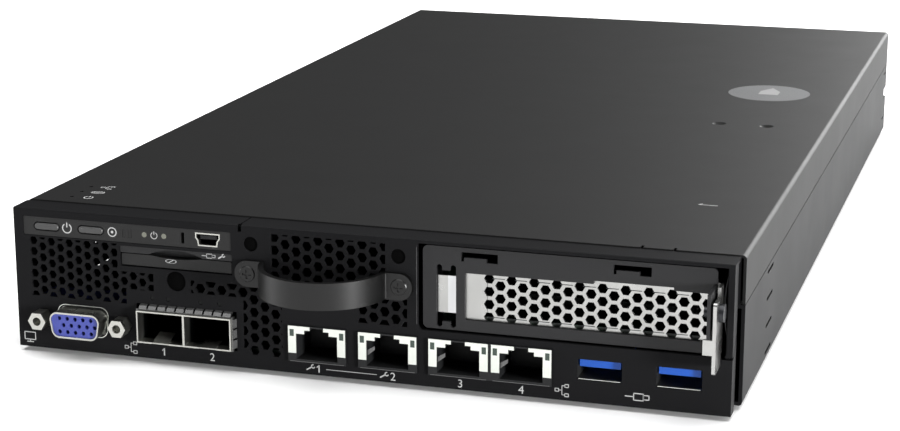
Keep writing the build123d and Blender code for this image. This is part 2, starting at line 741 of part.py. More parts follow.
# Operator bezel: the strip's face, a rim behind the panel and four posts to its board
STATIONS = [OPERATOR_X + POWER_PLACE, OPERATOR_X + ID_PLACE]
STATUS_STATIONS = [OPERATOR_X + STATUS_PLACE + side * STATUS_PITCH / 2 for side in (-1, 1)]
with BuildPart() as operator_bezel:
    with BuildSketch(front_plane(BEZEL_FACE)):
        span(OPERATOR_X + FIT, OPERATOR_END - FIT, OPERATOR_BASE + FIT, OPERATOR_TOP - FIT, 0.5)
    extrude(amount=BEZEL_FACE - SHEET)
    with BuildSketch(front_plane(SHEET)):
        rim_x = max(OPERATOR_X - BEZEL_RIM, FIT - LIP_IN)
        span(rim_x, OPERATOR_END + BEZEL_RIM, OPERATOR_BASE - BEZEL_RIM, OPERATOR_TOP + BEZEL_RIM)
    extrude(amount=SHEET - BEZEL_BACK)
    with BuildSketch(front_plane(BEZEL_BACK)):
        for place in (OPERATOR_X + 1.6, STATIONS[1] - 6.9, OPERATOR_X + 35.5, OPERATOR_END - 1.6):
            with Locations((place, OPERATOR_Z)):
                Circle(1.0)
    extrude(amount=BEZEL_BACK - OPERATOR_BOARD_Y)
    with BuildSketch(front_plane(BEZEL_FACE)):
        for place in STATIONS:
            with Locations((place, OPERATOR_Z)):
                SlotOverall(BUTTON_WIDTH + 2 * RUNNING_GAP, BUTTON_HEIGHT + 2 * RUNNING_GAP)
        with Locations(*[(place, OPERATOR_Z) for place in STATUS_STATIONS]):
            Circle(STATUS_RADIUS)
        for side in (-1, 1):
            with Locations((OPERATOR_X + LENS_PLACE + side * LENS_PITCH / 2, OPERATOR_Z)):
                Rectangle(LENS_WIDTH, LENS_HEIGHT)
        with Locations((OPERATOR_X + KEY_SLOT_PLACE, OPERATOR_Z)):
            Rectangle(KEY_SLOT_WIDTH, KEY_SLOT_HEIGHT)
    extrude(amount=BEZEL_FACE - BEZEL_BACK, mode=Mode.SUBTRACT)
    with BuildSketch(front_plane(BEZEL_FACE)):
        with BuildLine():
            Polyline(*SERVICE_OUTLINE, close=True)
        make_face()
    extrude(amount=BEZEL_FACE - BEZEL_BACK, mode=Mode.SUBTRACT)
write(operator_bezel.part, "operator_bezel")

# Two push buttons: stadium caps with a flange behind the bezel and a stem to the switch
button_back = OPERATOR_BOARD_Y - SWITCH_THICK - RUNNING_GAP - BUTTON_TRAVEL
for place, label in zip(STATIONS, ("power_button", "id_button")):
    with BuildPart() as button:
        flange_y = BEZEL_BACK + RUNNING_GAP
        with BuildSketch(front_plane(BEZEL_FACE - BUTTON_PROUD)):
            with Locations((place, OPERATOR_Z)):
                SlotOverall(BUTTON_WIDTH, BUTTON_HEIGHT)
        extrude(amount=BEZEL_FACE - BUTTON_PROUD - flange_y)
        chamfer(button.edges().group_by(Axis.Y)[0], 0.25)
        with BuildSketch(front_plane(flange_y)):
            with Locations((place, OPERATOR_Z)):
                SlotOverall(BUTTON_WIDTH + 2 * BUTTON_FLANGE, BUTTON_HEIGHT + 2 * BUTTON_FLANGE)
        extrude(amount=-BUTTON_FLANGE_THICK)
        with BuildSketch(front_plane(flange_y)):
            with Locations((place, OPERATOR_Z)):
                Circle(0.8)
        extrude(amount=flange_y - button_back)
    write(button.part, label)

# Operator board with its two low switches
with BuildPart() as operator_board:
    with BuildSketch(front_plane(OPERATOR_BOARD_Y)):
        span(OPERATOR_X, OPERATOR_END, OPERATOR_BASE, OPERATOR_TOP)
    extrude(amount=-OPERATOR_BOARD_THICK)
    with BuildSketch(front_plane(OPERATOR_BOARD_Y)):
        with Locations(*[(place, OPERATOR_Z) for place in STATIONS]):
            Rectangle(4.4, 3.4)
    extrude(amount=SWITCH_THICK)
write(operator_board.part, "operator_board")

# Status light pipes of the operator strip
with BuildPart() as status_light_pipes:
    with BuildSketch(front_plane(BEZEL_FACE)):
        with Locations(*[(place, OPERATOR_Z) for place in STATUS_STATIONS]):
            Circle(STATUS_RADIUS)
    extrude(amount=BEZEL_FACE - OPERATOR_BOARD_Y)
write(status_light_pipes.part, "status_light_pipes")

# Service socket: drawn shell and the tongue that carries its contacts
with BuildPart() as service_shell:
    with BuildSketch(front_plane(BEZEL_FACE)):
        with BuildLine():
            Polyline(*SERVICE_OUTLINE, close=True)
        make_face()
    extrude(amount=BEZEL_FACE - OPERATOR_BOARD_Y)
    mouth = service_shell.faces().sort_by(Axis.Y)[0]
    offset(amount=-SERVICE_WALL, openings=mouth)
write(service_shell.part, "service_shell")
with BuildPart() as service_tongue:
    with BuildSketch(front_plane(BEZEL_FACE + 0.8)):
        with Locations((SERVICE_X, OPERATOR_Z + 0.5)):
            Rectangle(SERVICE_WIDTH - 2.4, SERVICE_TONGUE)
    extrude(amount=BEZEL_FACE + 0.8 + SERVICE_WALL - OPERATOR_BOARD_Y)
write(service_tongue.part, "service_tongue")

# Housing of the information tab: upper lip with a finger scoop, then a closed guide
with BuildPart() as tab_housing:
    housing_back = TAB_LENGTH + 4.0
    with BuildSketch(front_plane(BEZEL_FACE)):
        span(TAB_X0 + FIT, TAB_X1 - FIT, TAB_LIP_UNDER, TAB_TOP - FIT)
    extrude(amount=BEZEL_FACE - 3.0)
    with BuildSketch(front_plane(BEZEL_FACE)):
        with Locations((TAB_X, TAB_LIP_UNDER - TAB_SCOOP_RADIUS + TAB_SCOOP_DEPTH)):
            Circle(TAB_SCOOP_RADIUS)
    extrude(amount=-TAB_SCOOP_SET, mode=Mode.SUBTRACT)
    with BuildSketch(front_plane(3.0)):
        span(TAB_X0 + FIT, TAB_X1 - FIT, TAB_BASE + FIT, TAB_TOP - FIT)
    extrude(amount=3.0 - housing_back)
    plate_z = (TAB_BASE + TAB_LIP_UNDER) / 2
    half_slot = TAB_PLATE / 2 + RUNNING_GAP
    with BuildSketch(level_plane(plate_z - half_slot)):
        inner = TAB_X0 + FIT + TAB_WALL + TAB_LUG
        span(inner, TAB_X0 + TAB_X1 - inner, 3.0, housing_back - TAB_WALL)
        inner = inner - TAB_LUG
        span(inner, TAB_X0 + TAB_X1 - inner, TAB_GUIDE, housing_back - TAB_WALL)
    extrude(amount=2 * half_slot, mode=Mode.SUBTRACT)
write(tab_housing.part, "tab_housing")

# Information tab: front bar, plate and two rear lugs that stop it at the guide
with BuildPart() as info_tab:
    with BuildSketch(front_plane(0.5)):
        top = TAB_LIP_UNDER - RUNNING_GAP
        gap = RUNNING_GAP
        span(TAB_X0 + gap, TAB_X1 - gap, TAB_BASE + gap, top, 0.3)
        with Locations((TAB_X, top + TAB_NOTCH_RADIUS - TAB_NOTCH_DEPTH)):
            Circle(TAB_NOTCH_RADIUS, mode=Mode.SUBTRACT)
    extrude(amount=-TAB_BAR_DEPTH)
    with BuildSketch(level_plane(plate_z - TAB_PLATE / 2)):
        inner = TAB_X0 + FIT + TAB_WALL + TAB_LUG + RUNNING_GAP
        span(inner, TAB_X0 + TAB_X1 - inner, 0.5 + TAB_BAR_DEPTH, TAB_LENGTH)
        inner = inner - TAB_LUG
        span(inner, TAB_X0 + TAB_X1 - inner, TAB_LENGTH - 2.0, TAB_LENGTH)
    extrude(amount=TAB_PLATE)
write(info_tab.part, "info_tab")

# Round plugs: a set-back face in each hole and a wider head behind the sheet
with BuildPart() as hole_plugs:
    for x, z, radius in (
        (LARGE_PLUG_X, LARGE_PLUG_Z, LARGE_PLUG),
        (HANDLE_X - SMALL_PLUG_SPREAD, SMALL_PLUG_Z, SMALL_PLUG),
        (HANDLE_X + SMALL_PLUG_SPREAD, SMALL_PLUG_Z, SMALL_PLUG),
    ):
        with BuildSketch(front_plane(PLUG_SET)):
            with Locations((x, z)):
                Circle(radius)
        extrude(amount=PLUG_SET - SHEET)
        with BuildSketch(front_plane(SHEET)):
            with Locations((x, z)):
                Circle(radius + 0.5)
        extrude(amount=-PLUG_HEAD)
write(hole_plugs.part, "hole_plugs")

# Video connector: D shell on a flange, insert with fifteen pin holes, two jackscrews
with BuildPart() as vga_shell:
    with BuildSketch(front_plane(-VGA_REACH)) as outline:
        with Locations((VGA_X, VGA_Z)):
            Trapezoid(VGA_WIDTH, VGA_HEIGHT, VGA_SLOPE, rotation=180)
        fillet(outline.vertices(), VGA_CORNER)
    extrude(amount=-VGA_REACH - SHEET - VGA_FLANGE)
    with BuildSketch(front_plane(SHEET)):
        with Locations((VGA_X, VGA_Z)):
            RectangleRounded(VGA_FLANGE_WIDTH, VGA_FLANGE_HEIGHT, 1.5)
        with Locations(*[(VGA_X + side * JACKSCREW_SPACING / 2, VGA_Z) for side in (-1, 1)]):
            Circle(JACKSCREW_SHANK + FIT, mode=Mode.SUBTRACT)
    extrude(amount=-VGA_FLANGE)
    with BuildSketch(front_plane(-VGA_REACH)) as mouth:
        with Locations((VGA_X, VGA_Z)):
            wall = 2 * VGA_WALL
            Trapezoid(VGA_WIDTH - wall, VGA_HEIGHT - wall, VGA_SLOPE, rotation=180)
        fillet(mouth.vertices(), VGA_CORNER - VGA_WALL)
    extrude(amount=-VGA_REACH - SHEET - VGA_FLANGE, mode=Mode.SUBTRACT)
write(vga_shell.part, "vga_shell")
with BuildPart() as vga_insert:
    with BuildSketch(front_plane(VGA_WALL - VGA_REACH)) as core:
        with Locations((VGA_X, VGA_Z)):
            Trapezoid(VGA_WIDTH - wall, VGA_HEIGHT - wall, VGA_SLOPE, rotation=180)
        fillet(core.vertices(), VGA_CORNER - VGA_WALL)
    extrude(amount=VGA_WALL - VGA_REACH - SHEET - VGA_FLANGE)
    with BuildSketch(front_plane(SHEET + VGA_FLANGE)):
        half = VGA_BLOCK_WIDTH / 2
        span(VGA_X - half, VGA_X + half, BOARD_TOP, VGA_Z + VGA_FLANGE_HEIGHT / 2)
        with Locations(*[(VGA_X + side * JACKSCREW_SPACING / 2, VGA_Z) for side in (-1, 1)]):
            Circle(JACKSCREW_SHANK + FIT, mode=Mode.SUBTRACT)
    extrude(amount=-VGA_BLOCK_DEPTH)
    with BuildSketch(front_plane(VGA_WALL - VGA_REACH)):
        for row, shift in ((-1, 0), (0, VGA_PIN_PITCH / 2), (1, 0)):
            with Locations((VGA_X + shift, VGA_Z + row * VGA_ROW_PITCH)):
                with GridLocations(VGA_PIN_PITCH, 1, 5, 1):
                    RegularPolygon(VGA_PIN_RADIUS, 8)
    extrude(amount=-VGA_PIN_DEPTH, mode=Mode.SUBTRACT)
write(vga_insert.part, "vga_insert")
with BuildPart() as vga_jackscrews:
    places = [(VGA_X + side * JACKSCREW_SPACING / 2, VGA_Z) for side in (-1, 1)]
    with BuildSketch(front_plane()):
        with Locations(*places):
            RegularPolygon(JACKSCREW_FLATS / 2, 6, major_radius=False)
    extrude(amount=JACKSCREW_REACH)
    with BuildSketch(front_plane()):
        with Locations(*places):
            Circle(JACKSCREW_SHANK)
    extrude(amount=-SHEET - VGA_FLANGE - JACKSCREW_LENGTH)
    with BuildSketch(front_plane(-JACKSCREW_REACH)):
        with Locations(*places):
            Circle(JACKSCREW_BORE)
    extrude(amount=-JACKSCREW_DEPTH, mode=Mode.SUBTRACT)
write(vga_jackscrews.part, "vga_jackscrews")

# Optical module cage: two open ports in one folded shell, with latch cuts in its floor
with BuildPart() as module_cage:
    with BuildSketch(front_plane(-CAGE_REACH)):
        span(CAGE_X - CAGE_WIDTH / 2, CAGE_X + CAGE_WIDTH / 2, BOARD_TOP, CAGE_TOP)
    extrude(amount=-CAGE_REACH - CAGE_DEPTH)
    with BuildSketch(front_plane(-CAGE_REACH)):
        with Locations(*[(place, BOARD_TOP + CAGE_HEIGHT / 2) for place in CAGE_PORT_PLACES]):
            Rectangle(CAGE_PORT_WIDTH, CAGE_PORT_HEIGHT)
    extrude(amount=CAGE_WALL - CAGE_REACH - CAGE_DEPTH, mode=Mode.SUBTRACT)
    with BuildSketch(level_plane(BOARD_TOP)):
        for place in CAGE_PORT_PLACES:
            half = CAGE_LATCH / 2
            span(place - half, place + half, -CAGE_REACH, CAGE_LATCH_CUT - CAGE_REACH)
    extrude(amount=CAGE_WALL, mode=Mode.SUBTRACT)
write(module_cage.part, "module_cage")

# Spring gasket: a band round the cage's mouth with fingers that reach the panel's cut-out
with BuildPart() as cage_gasket:
    half = CAGE_WIDTH / 2
    with BuildSketch(front_plane(BAND_FRONT)):
        edge = half + BAND
        span(CAGE_X - edge, CAGE_X + edge, BOARD_TOP - BAND, CAGE_TOP + BAND)
        span(CAGE_X - half, CAGE_X + half, BOARD_TOP, CAGE_TOP, mode=Mode.SUBTRACT)
    extrude(amount=BAND_FRONT - BAND_BACK)
    for index in range(FINGER_COUNT):
        left = CAGE_X + (index - (FINGER_COUNT - 1) / 2) * FINGER_PITCH - FINGER_WIDTH / 2
        with BuildSketch(side_plane(left)):
            with BuildLine():
                Polyline(
                    (BAND_FRONT, CAGE_TOP + BAND),
                    (BAND_BACK, CAGE_TOP + BAND),
                    (SHEET, CAGE_TOP + CAGE_GAP_TOP - BAND),
                    (SHEET, CAGE_TOP + CAGE_GAP_TOP),
                    (FIT, CAGE_TOP + CAGE_GAP_TOP),
                    (FINGER_CREST, CAGE_TOP + CAGE_GAP_TOP - FINGER_FALL),
                    close=True,
                )
            make_face()
        extrude(amount=FINGER_WIDTH)
    middle = BOARD_TOP + CAGE_HEIGHT / 2
    for index in range(SIDE_FINGER_COUNT):
        low = middle + (index - (SIDE_FINGER_COUNT - 1) / 2) * SIDE_FINGER_PITCH
        for side in (-1, 1):
            with BuildSketch(level_plane(low - SIDE_FINGER_WIDTH / 2)):
                with BuildLine():
                    Polyline(
                        (CAGE_X + side * (half + BAND), BAND_FRONT),
                        (CAGE_X + side * (half + BAND), BAND_BACK),
                        (CAGE_X + side * (half + CAGE_GAP_SIDE - BAND), SHEET),
                        (CAGE_X + side * (half + CAGE_GAP_SIDE), SHEET),
                        (CAGE_X + side * (half + CAGE_GAP_SIDE), 0),
                        close=True,
                    )
                make_face()
            extrude(amount=SIDE_FINGER_WIDTH)
write(cage_gasket.part, "cage_gasket")

# Plugs of the optical cage: a block at each port's end with a slot for the module's card
with BuildPart() as module_plugs:
    plug_y = CAGE_DEPTH - CAGE_WALL - MODULE_PLUG_DEPTH
    base = BOARD_TOP + CAGE_WALL
    with BuildSketch(front_plane(plug_y)):
        for place in CAGE_PORT_PLACES:
            half = MODULE_PLUG_WIDTH / 2
            span(place - half, place + half, base, base + MODULE_PLUG_HEIGHT)
    extrude(amount=-MODULE_PLUG_DEPTH)
    with BuildSketch(front_plane(plug_y)):
        with Locations(*[(place, base + MODULE_PLUG_HEIGHT / 2) for place in CAGE_PORT_PLACES]):
            Rectangle(MODULE_SLOT_WIDTH, MODULE_SLOT_HEIGHT)
    extrude(amount=-MODULE_PLUG_DEPTH / 2, mode=Mode.SUBTRACT)
write(module_plugs.part, "module_plugs")

# Light bars over the optical cage: round noses in the panel, bent down to the board behind
with BuildPart() as cage_light_bars:
    bar_front = SHEET + BEZEL_FACE
    top = LAMP_ROW_Z + LAMP_BAR / 2
    for place in LAMP_ROW_PLACES:
        with BuildSketch(side_plane(CAGE_X + place - LAMP_BAR / 2)):
            span(bar_front, LAMP_BAR_BACK, top - LAMP_BAR, top)
            span(LAMP_BAR_BACK - LAMP_BAR, LAMP_BAR_BACK, BOARD_TOP, top)
        extrude(amount=LAMP_BAR)
    with BuildSketch(front_plane(BEZEL_FACE)):
        with Locations(*[(CAGE_X + place, LAMP_ROW_Z) for place in LAMP_ROW_PLACES]):
            Circle(LAMP_ROW_RADIUS)
    extrude(amount=BEZEL_FACE - bar_front)
write(cage_light_bars.part, "cage_light_bars")


def jack(centres, label):
    """A block of one or more network jacks side by side, open to the front."""
    lamps = [(centre + side * JACK_LAMP_X, JACK_LAMP_Z) for centre in centres for side in (-1, 1)]
    with BuildPart() as block:
        with BuildSketch(front_plane(-JACK_PROUD)):
            span(centres[0] - JACK_WIDTH / 2, centres[-1] + JACK_WIDTH / 2, JACK_BASE, JACK_TOP)
        extrude(amount=-JACK_DEPTH)
        with BuildSketch(front_plane(-JACK_PROUD)):
            for centre in centres:
                for width, low, high in JACK_STEPS:
                    span(centre - width / 2, centre + width / 2, low, high)
        extrude(amount=-JACK_CAVITY_DEPTH, mode=Mode.SUBTRACT)
        with BuildSketch(front_plane(-JACK_PROUD)):
            with Locations(*lamps):
                Rectangle(JACK_LAMP_WIDTH, JACK_LAMP_HEIGHT)
        extrude(amount=-JACK_LAMP_DEPTH, mode=Mode.SUBTRACT)
    write(block.part, label)


# Network jacks: two single ones and a ganged pair
PAIR_PLACES = [JACK_PAIR_X + side * JACK_PAIR_PITCH / 2 for side in (-1, 1)]
jack([JACK_1_X], "ethernet_jack_1")
jack([JACK_2_X], "ethernet_jack_2")
jack(PAIR_PLACES, "ethernet_jack_pair")

# Lamp windows in the upper corners of every jack
with BuildPart() as jack_lamps:
    with BuildSketch(front_plane(-JACK_PROUD)):
        for centre in (JACK_1_X, JACK_2_X, *PAIR_PLACES):
            with Locations(*[(centre + side * JACK_LAMP_X, JACK_LAMP_Z) for side in (-1, 1)]):
                Rectangle(JACK_LAMP_WIDTH, JACK_LAMP_HEIGHT)
    extrude(amount=-JACK_LAMP_DEPTH)
write(jack_lamps.part, "jack_lamps")

# Serial-bus sockets: folded shells behind the panel, and tongues on a block that stands on the board
with BuildPart() as usb_shells:
    with BuildSketch(front_plane(USB_SET)):
        for place in USB_PLACES:
            half = USB_WIDTH / 2
            span(place - half, place + half, USB_BASE, USB_TOP, USB_WALL)
            half = half - USB_WALL
            span(place - half, place + half, USB_BASE + USB_WALL, USB_TOP - USB_WALL, 0, Mode.SUBTRACT)
    extrude(amount=-USB_DEPTH)
write(usb_shells.part, "usb_shells")
with BuildPart() as usb_tongues:
    shell_end = USB_DEPTH + USB_SET
    with BuildSketch(front_plane(USB_TONGUE_BACK + USB_SET)):
        for place in USB_PLACES:
            half = USB_TONGUE_WIDTH / 2
            top = USB_TOP - USB_WALL - USB_TONGUE_DROP
            span(place - half, place + half, top - USB_TONGUE_THICK, top)
    extrude(amount=USB_TONGUE_BACK - USB_DEPTH)
    with BuildSketch(front_plane(shell_end - USB_BLOCK)):
        for place in USB_PLACES:
            half = USB_WIDTH / 2 - USB_WALL
            span(place - half, place + half, USB_BASE + USB_WALL, USB_TOP - USB_WALL)
    extrude(amount=-USB_BLOCK)
    with BuildSketch(front_plane(shell_end)):
        for place in USB_PLACES:
            half = USB_WIDTH / 2
            span(place - half, place + half, BOARD_TOP, USB_TOP)
    extrude(amount=-USB_BLOCK)
write(usb_tongues.part, "usb_tongues")

# Carrying handle: a bent band with a flat lug at each end
HANDLE_SCREWS = [(HANDLE_X + side * HANDLE_SCREW_SPACING / 2, HANDLE_Z) for side in (-1, 1)]
with BuildPart() as handle:
    lug_end = HANDLE_SCREW_SPACING / 2 + HANDLE_BAND / 2
    with BuildSketch(level_plane(HANDLE_Z - HANDLE_BAND / 2)) as band:
        with Locations((HANDLE_X, HANDLE_RADIUS - HANDLE_REACH)):
            Circle(HANDLE_RADIUS)
        span(HANDLE_X - lug_end, HANDLE_X + lug_end, -HANDLE_THICK, 0)
        with Locations((HANDLE_X, HANDLE_RADIUS - HANDLE_REACH)):
            Circle(HANDLE_RADIUS - HANDLE_THICK, mode=Mode.SUBTRACT)
        behind = HANDLE_RADIUS * 2
        span(HANDLE_X - behind, HANDLE_X + behind, 0, 2 * behind, mode=Mode.SUBTRACT)
        lug_edge = band.vertices().group_by(Axis.Y)[1]
        fillet(lug_edge.sort_by(Axis.X)[1:-1], HANDLE_ROOT)
    extrude(amount=HANDLE_BAND)
    ends = handle.edges().filter_by(Axis.Y).group_by(Axis.X)
    fillet(ends[0] + ends[-1], HANDLE_BAND / 2 - FIT)
    with BuildSketch(front_plane(-HANDLE_THICK)):
        with Locations(*HANDLE_SCREWS):
            Circle(SCREW_SHANK + FIT)
    extrude(amount=-HANDLE_THICK, mode=Mode.SUBTRACT)
write(handle.part, "handle")
with BuildPart() as handle_screws:
    with BuildSketch(front_plane(-HANDLE_THICK)):
        with Locations(*HANDLE_SCREWS):
            Circle(SCREW_RADIUS)
    extrude(amount=SCREW_PROUD)
    chamfer(handle_screws.edges().group_by(Axis.Y)[0], SCREW_EDGE)
    with BuildSketch(front_plane(-HANDLE_THICK)):
        with Locations(*HANDLE_SCREWS):
            Circle(SCREW_SHANK)
    extrude(amount=-SCREW_LENGTH)
    with BuildSketch(front_plane(-HANDLE_THICK - SCREW_PROUD)):
        with Locations(*HANDLE_SCREWS):
            Rectangle(CROSS_LENGTH, CROSS_WIDTH)
            Rectangle(CROSS_WIDTH, CROSS_LENGTH)
    extrude(amount=-CROSS_DEPTH, mode=Mode.SUBTRACT)
write(handle_screws.part, "handle_screws")

# Places in the expansion bay
PLATE_BACK = CAGE_PLATE_Y + CAGE_PLATE
OPENING_X0 = CAGE_PLATE_X0 + OPENING_INSET
OPENING_TOP = OPENING_BASE + OPENING_HEIGHT
OPENING_Z = (OPENING_BASE + OPENING_TOP) / 2
WINDOW_X = CAGE_PLATE_X0 + WINDOW_INSET
TONGUE_X0 = WINDOW_X - BRACKET_TONGUE / 2
FLANGE_X = CAGE_PLATE_X1 + FLANGE_GAP
BRACKET_TOP = BRACKET_BASE + BRACKET_WIDTH
BRACKET_BACK = PLATE_BACK + BRACKET_SHEET
EAR_FRONT = BRACKET_BACK - BRACKET_FLANGE
CAGE_REAR_Y = CAGE_SIDE_DEPTH - CAGE_PLATE

# Expansion cage: set-back front plate, left wall and rear wall that stands on the board
with BuildPart() as expansion_cage:
    with BuildSketch(front_plane(CAGE_PLATE_Y)):
        span(CAGE_PLATE_X0, CAGE_PLATE_X1, CAGE_PLATE_BASE, CAGE_PLATE_TOP, BAY_CORNER)
        right = CAGE_PLATE_X1 - OPENING_MARGIN
        span(OPENING_X0, right, OPENING_BASE, OPENING_TOP, OPENING_CORNER, Mode.SUBTRACT)
        step_x = OPENING_X0 + OPENING_STEP_PLACE
        rise = OPENING_TOP + OPENING_STEP_RISE
        span(step_x, step_x + OPENING_STEP_WIDTH, OPENING_Z, rise, 0, Mode.SUBTRACT)
        half = WINDOW_HEIGHT / 2 - WINDOW_PRONG
        window_z = OPENING_Z - WINDOW_DROP
        left = WINDOW_X - WINDOW_WIDTH / 2
        span(left, left + WINDOW_WIDTH, window_z - half, window_z + half, 0, Mode.SUBTRACT)
        for side in (-1, 1):
            with Locations((WINDOW_X + side * (WINDOW_WIDTH - WINDOW_EAR) / 2, window_z)):
                SlotOverall(WINDOW_HEIGHT, WINDOW_EAR, rotation=90, mode=Mode.SUBTRACT)
        top = CAGE_PLATE_TOP - HOOK_SLOT_DROP
        for place in HOOK_SLOT_PLACES:
            left = CAGE_PLATE_X0 + place
            right = left + HOOK_SLOT_WIDTH
            span(left, right, top - HOOK_SLOT_BAND, top, 0, Mode.SUBTRACT)
            span(left, left + HOOK_SLOT_LEG, top - HOOK_SLOT_HEIGHT, top, 0, Mode.SUBTRACT)
            span(right - HOOK_SLOT_FOOT, right, top - HOOK_SLOT_HEIGHT, top, 0, Mode.SUBTRACT)
    extrude(amount=-CAGE_PLATE)
    with BuildSketch(level_plane(CAGE_PLATE_BASE + BAY_CORNER)):
        span(CAGE_PLATE_X0, CAGE_PLATE_X0 + CAGE_PLATE, CAGE_PLATE_Y, CAGE_SIDE_DEPTH)
        span(CAGE_PLATE_X0, CAGE_PLATE_X1, CAGE_REAR_Y, CAGE_SIDE_DEPTH)
    extrude(amount=CAGE_PLATE_TOP - CAGE_PLATE_BASE - 2 * BAY_CORNER)
    with BuildSketch(level_plane(BOARD_TOP)):
        span(CAGE_PLATE_X0, CAGE_PLATE_X1, CAGE_REAR_Y, CAGE_SIDE_DEPTH)
    extrude(amount=CAGE_PLATE_BASE + 2 * BAY_CORNER - BOARD_TOP)
    with BuildSketch(side_plane(CAGE_PLATE_X1 - EAR_THICK)):
        span(EAR_FRONT, PLATE_BACK, EAR_BASE, EAR_TOP)
        with Locations((EAR_FRONT / 2, BRACKET_SCREW_Z)):
            Circle(SCREW_SHANK, mode=Mode.SUBTRACT)
    extrude(amount=EAR_THICK)
write(expansion_cage.part, "expansion_cage")

# Expansion bracket: perforated face, tongue at the left end and a flange bent forward
with BuildPart() as expansion_bracket:
    with BuildSketch(front_plane(PLATE_BACK)):
        span(TONGUE_X0 + BRACKET_STEP, FLANGE_X + BRACKET_SHEET, BRACKET_BASE, BRACKET_TOP)
        half = BRACKET_TONGUE_HEIGHT / 2
        span(TONGUE_X0, TONGUE_X0 + 2 * BRACKET_STEP, OPENING_Z - half, OPENING_Z + half)
    extrude(amount=-BRACKET_SHEET)
    with BuildSketch(front_plane(PLATE_BACK)):
        grid_x = OPENING_X0 + BRACKET_PLAIN
        grid_z = OPENING_BASE + BRACKET_FLATS / 2 - 2 * FIT
        hexagons(grid_x, grid_z, BRACKET_ROW_PITCH, BRACKET_FLATS, BRACKET_COLUMNS, BRACKET_ROWS, 1)
    extrude(amount=-BRACKET_SHEET, mode=Mode.SUBTRACT)
    with BuildSketch(side_plane(FLANGE_X)):
        span(CAGE_PLATE_Y, BRACKET_BACK, BRACKET_BASE, BRACKET_TOP)
        span(EAR_FRONT, CAGE_PLATE_Y - FLANGE_NECK, BRACKET_BASE - FLANGE_DROP, FLANGE_TOP, 0.8)
        span(-FLANGE_SHOULDER, CAGE_PLATE_Y, BRACKET_BASE, BRACKET_TOP)
        with Locations((EAR_FRONT / 2, BRACKET_SCREW_Z)):
            Circle(SCREW_SHANK + FIT, mode=Mode.SUBTRACT)
    extrude(amount=BRACKET_SHEET)
    with BuildSketch(front_plane(EAR_FRONT)):
        lip_top = EAR_BASE - FIT
        lip_x = FLANGE_X - FLANGE_GAP - FLANGE_LIP
        span(lip_x, FLANGE_X + BRACKET_SHEET / 2, lip_top - FLANGE_LIP_HEIGHT, lip_top)
    extrude(amount=-BRACKET_SHEET)
write(expansion_bracket.part, "expansion_bracket")
with BuildPart() as bracket_screw:
    with BuildSketch(side_plane(FLANGE_X + BRACKET_SHEET)):
        with Locations((EAR_FRONT / 2, BRACKET_SCREW_Z)):
            Circle(BRACKET_SCREW_HEAD)
    extrude(amount=BRACKET_SCREW_PROUD)
    with BuildSketch(side_plane(FLANGE_X + BRACKET_SHEET)):
        with Locations((EAR_FRONT / 2, BRACKET_SCREW_Z)):
            Circle(SCREW_SHANK)
    extrude(amount=-BRACKET_SHEET - FLANGE_GAP - EAR_THICK - BRACKET_SCREW_PROUD)
write(bracket_screw.part, "bracket_screw")

# Spring clip: a shallow bow that leans on the bay's right post
with BuildPart() as bracket_clip:
    with BuildSketch(front_plane(SHEET)):
        with BuildLine():
            middle_z = CLIP_BASE + CLIP_HEIGHT / 2
            top = CLIP_BASE + CLIP_HEIGHT
            crest = POST_IN - CLIP_BULGE
            outer = ThreePointArc((POST_IN, CLIP_BASE), (crest, middle_z), (POST_IN, top))
            foot = 2 * CLIP_THICK
            inner = ThreePointArc(
                (POST_IN, CLIP_BASE + foot),
                (crest + CLIP_THICK, middle_z),
                (POST_IN, top - foot),
            )
            Line(outer @ 0, inner @ 0)
            Line(outer @ 1, inner @ 1)
        make_face()
    extrude(amount=-CLIP_WIDTH)
write(bracket_clip.part, "bracket_clip")

# Riser card standing on the board, its slot, and the expansion card lying in the slot
RISER_X = CAGE_PLATE_X0 + CAGE_PLATE
SLOT_X = RISER_X + CARD_THICK
CARD_Z = BRACKET_BASE + CARD_THICK
with BuildPart() as riser_card:
    with BuildSketch(side_plane(RISER_X)):
        span(RISER_START, CAGE_REAR_Y - RISER_MARGIN, BOARD_TOP, CAGE_PLATE_TOP - RISER_MARGIN)
    extrude(amount=CARD_THICK)
write(riser_card.part, "riser_card")
with BuildPart() as riser_slot:
    with BuildSketch(front_plane(CARD_SLOT_START)):
        wall = CARD_SLOT_WALL
        span(SLOT_X, SLOT_X + CARD_SLOT_WIDTH, CARD_Z - wall, CARD_Z + CARD_THICK + wall)
        span(SLOT_X + wall, SLOT_X + CARD_SLOT_WIDTH, CARD_Z, CARD_Z + CARD_THICK, 0, Mode.SUBTRACT)
    extrude(amount=-CARD_SLOT_LENGTH)
write(riser_slot.part, "riser_slot")
with BuildPart() as expansion_card:
    with BuildSketch(level_plane(CARD_Z)):
        card_x = SLOT_X + CARD_SLOT_WIDTH + 2 * FIT
        span(card_x, CAGE_PLATE_X1 - RISER_MARGIN, BRACKET_BACK, CAGE_REAR_Y - RISER_MARGIN)
        tab_y = CARD_SLOT_START + CARD_SLOT_WALL
        span(SLOT_X + CARD_SLOT_WALL + FIT, card_x, tab_y, tab_y + CARD_SLOT_LENGTH - 2 * CARD_SLOT_WALL)
    extrude(amount=CARD_THICK)
write(expansion_card.part, "expansion_card")
with BuildPart() as data_drives:
    with BuildSketch(level_plane(CARD_Z + CARD_THICK)):
        with Locations(((card_x + CAGE_PLATE_X1) / 2, CAGE_SIDE_DEPTH / 2)):
            with GridLocations(DRIVE_PITCH, 1, 2, 1):
                Rectangle(DRIVE_WIDTH, DRIVE_LENGTH)
    extrude(amount=DRIVE_THICK)
write(data_drives.part, "data_drives")

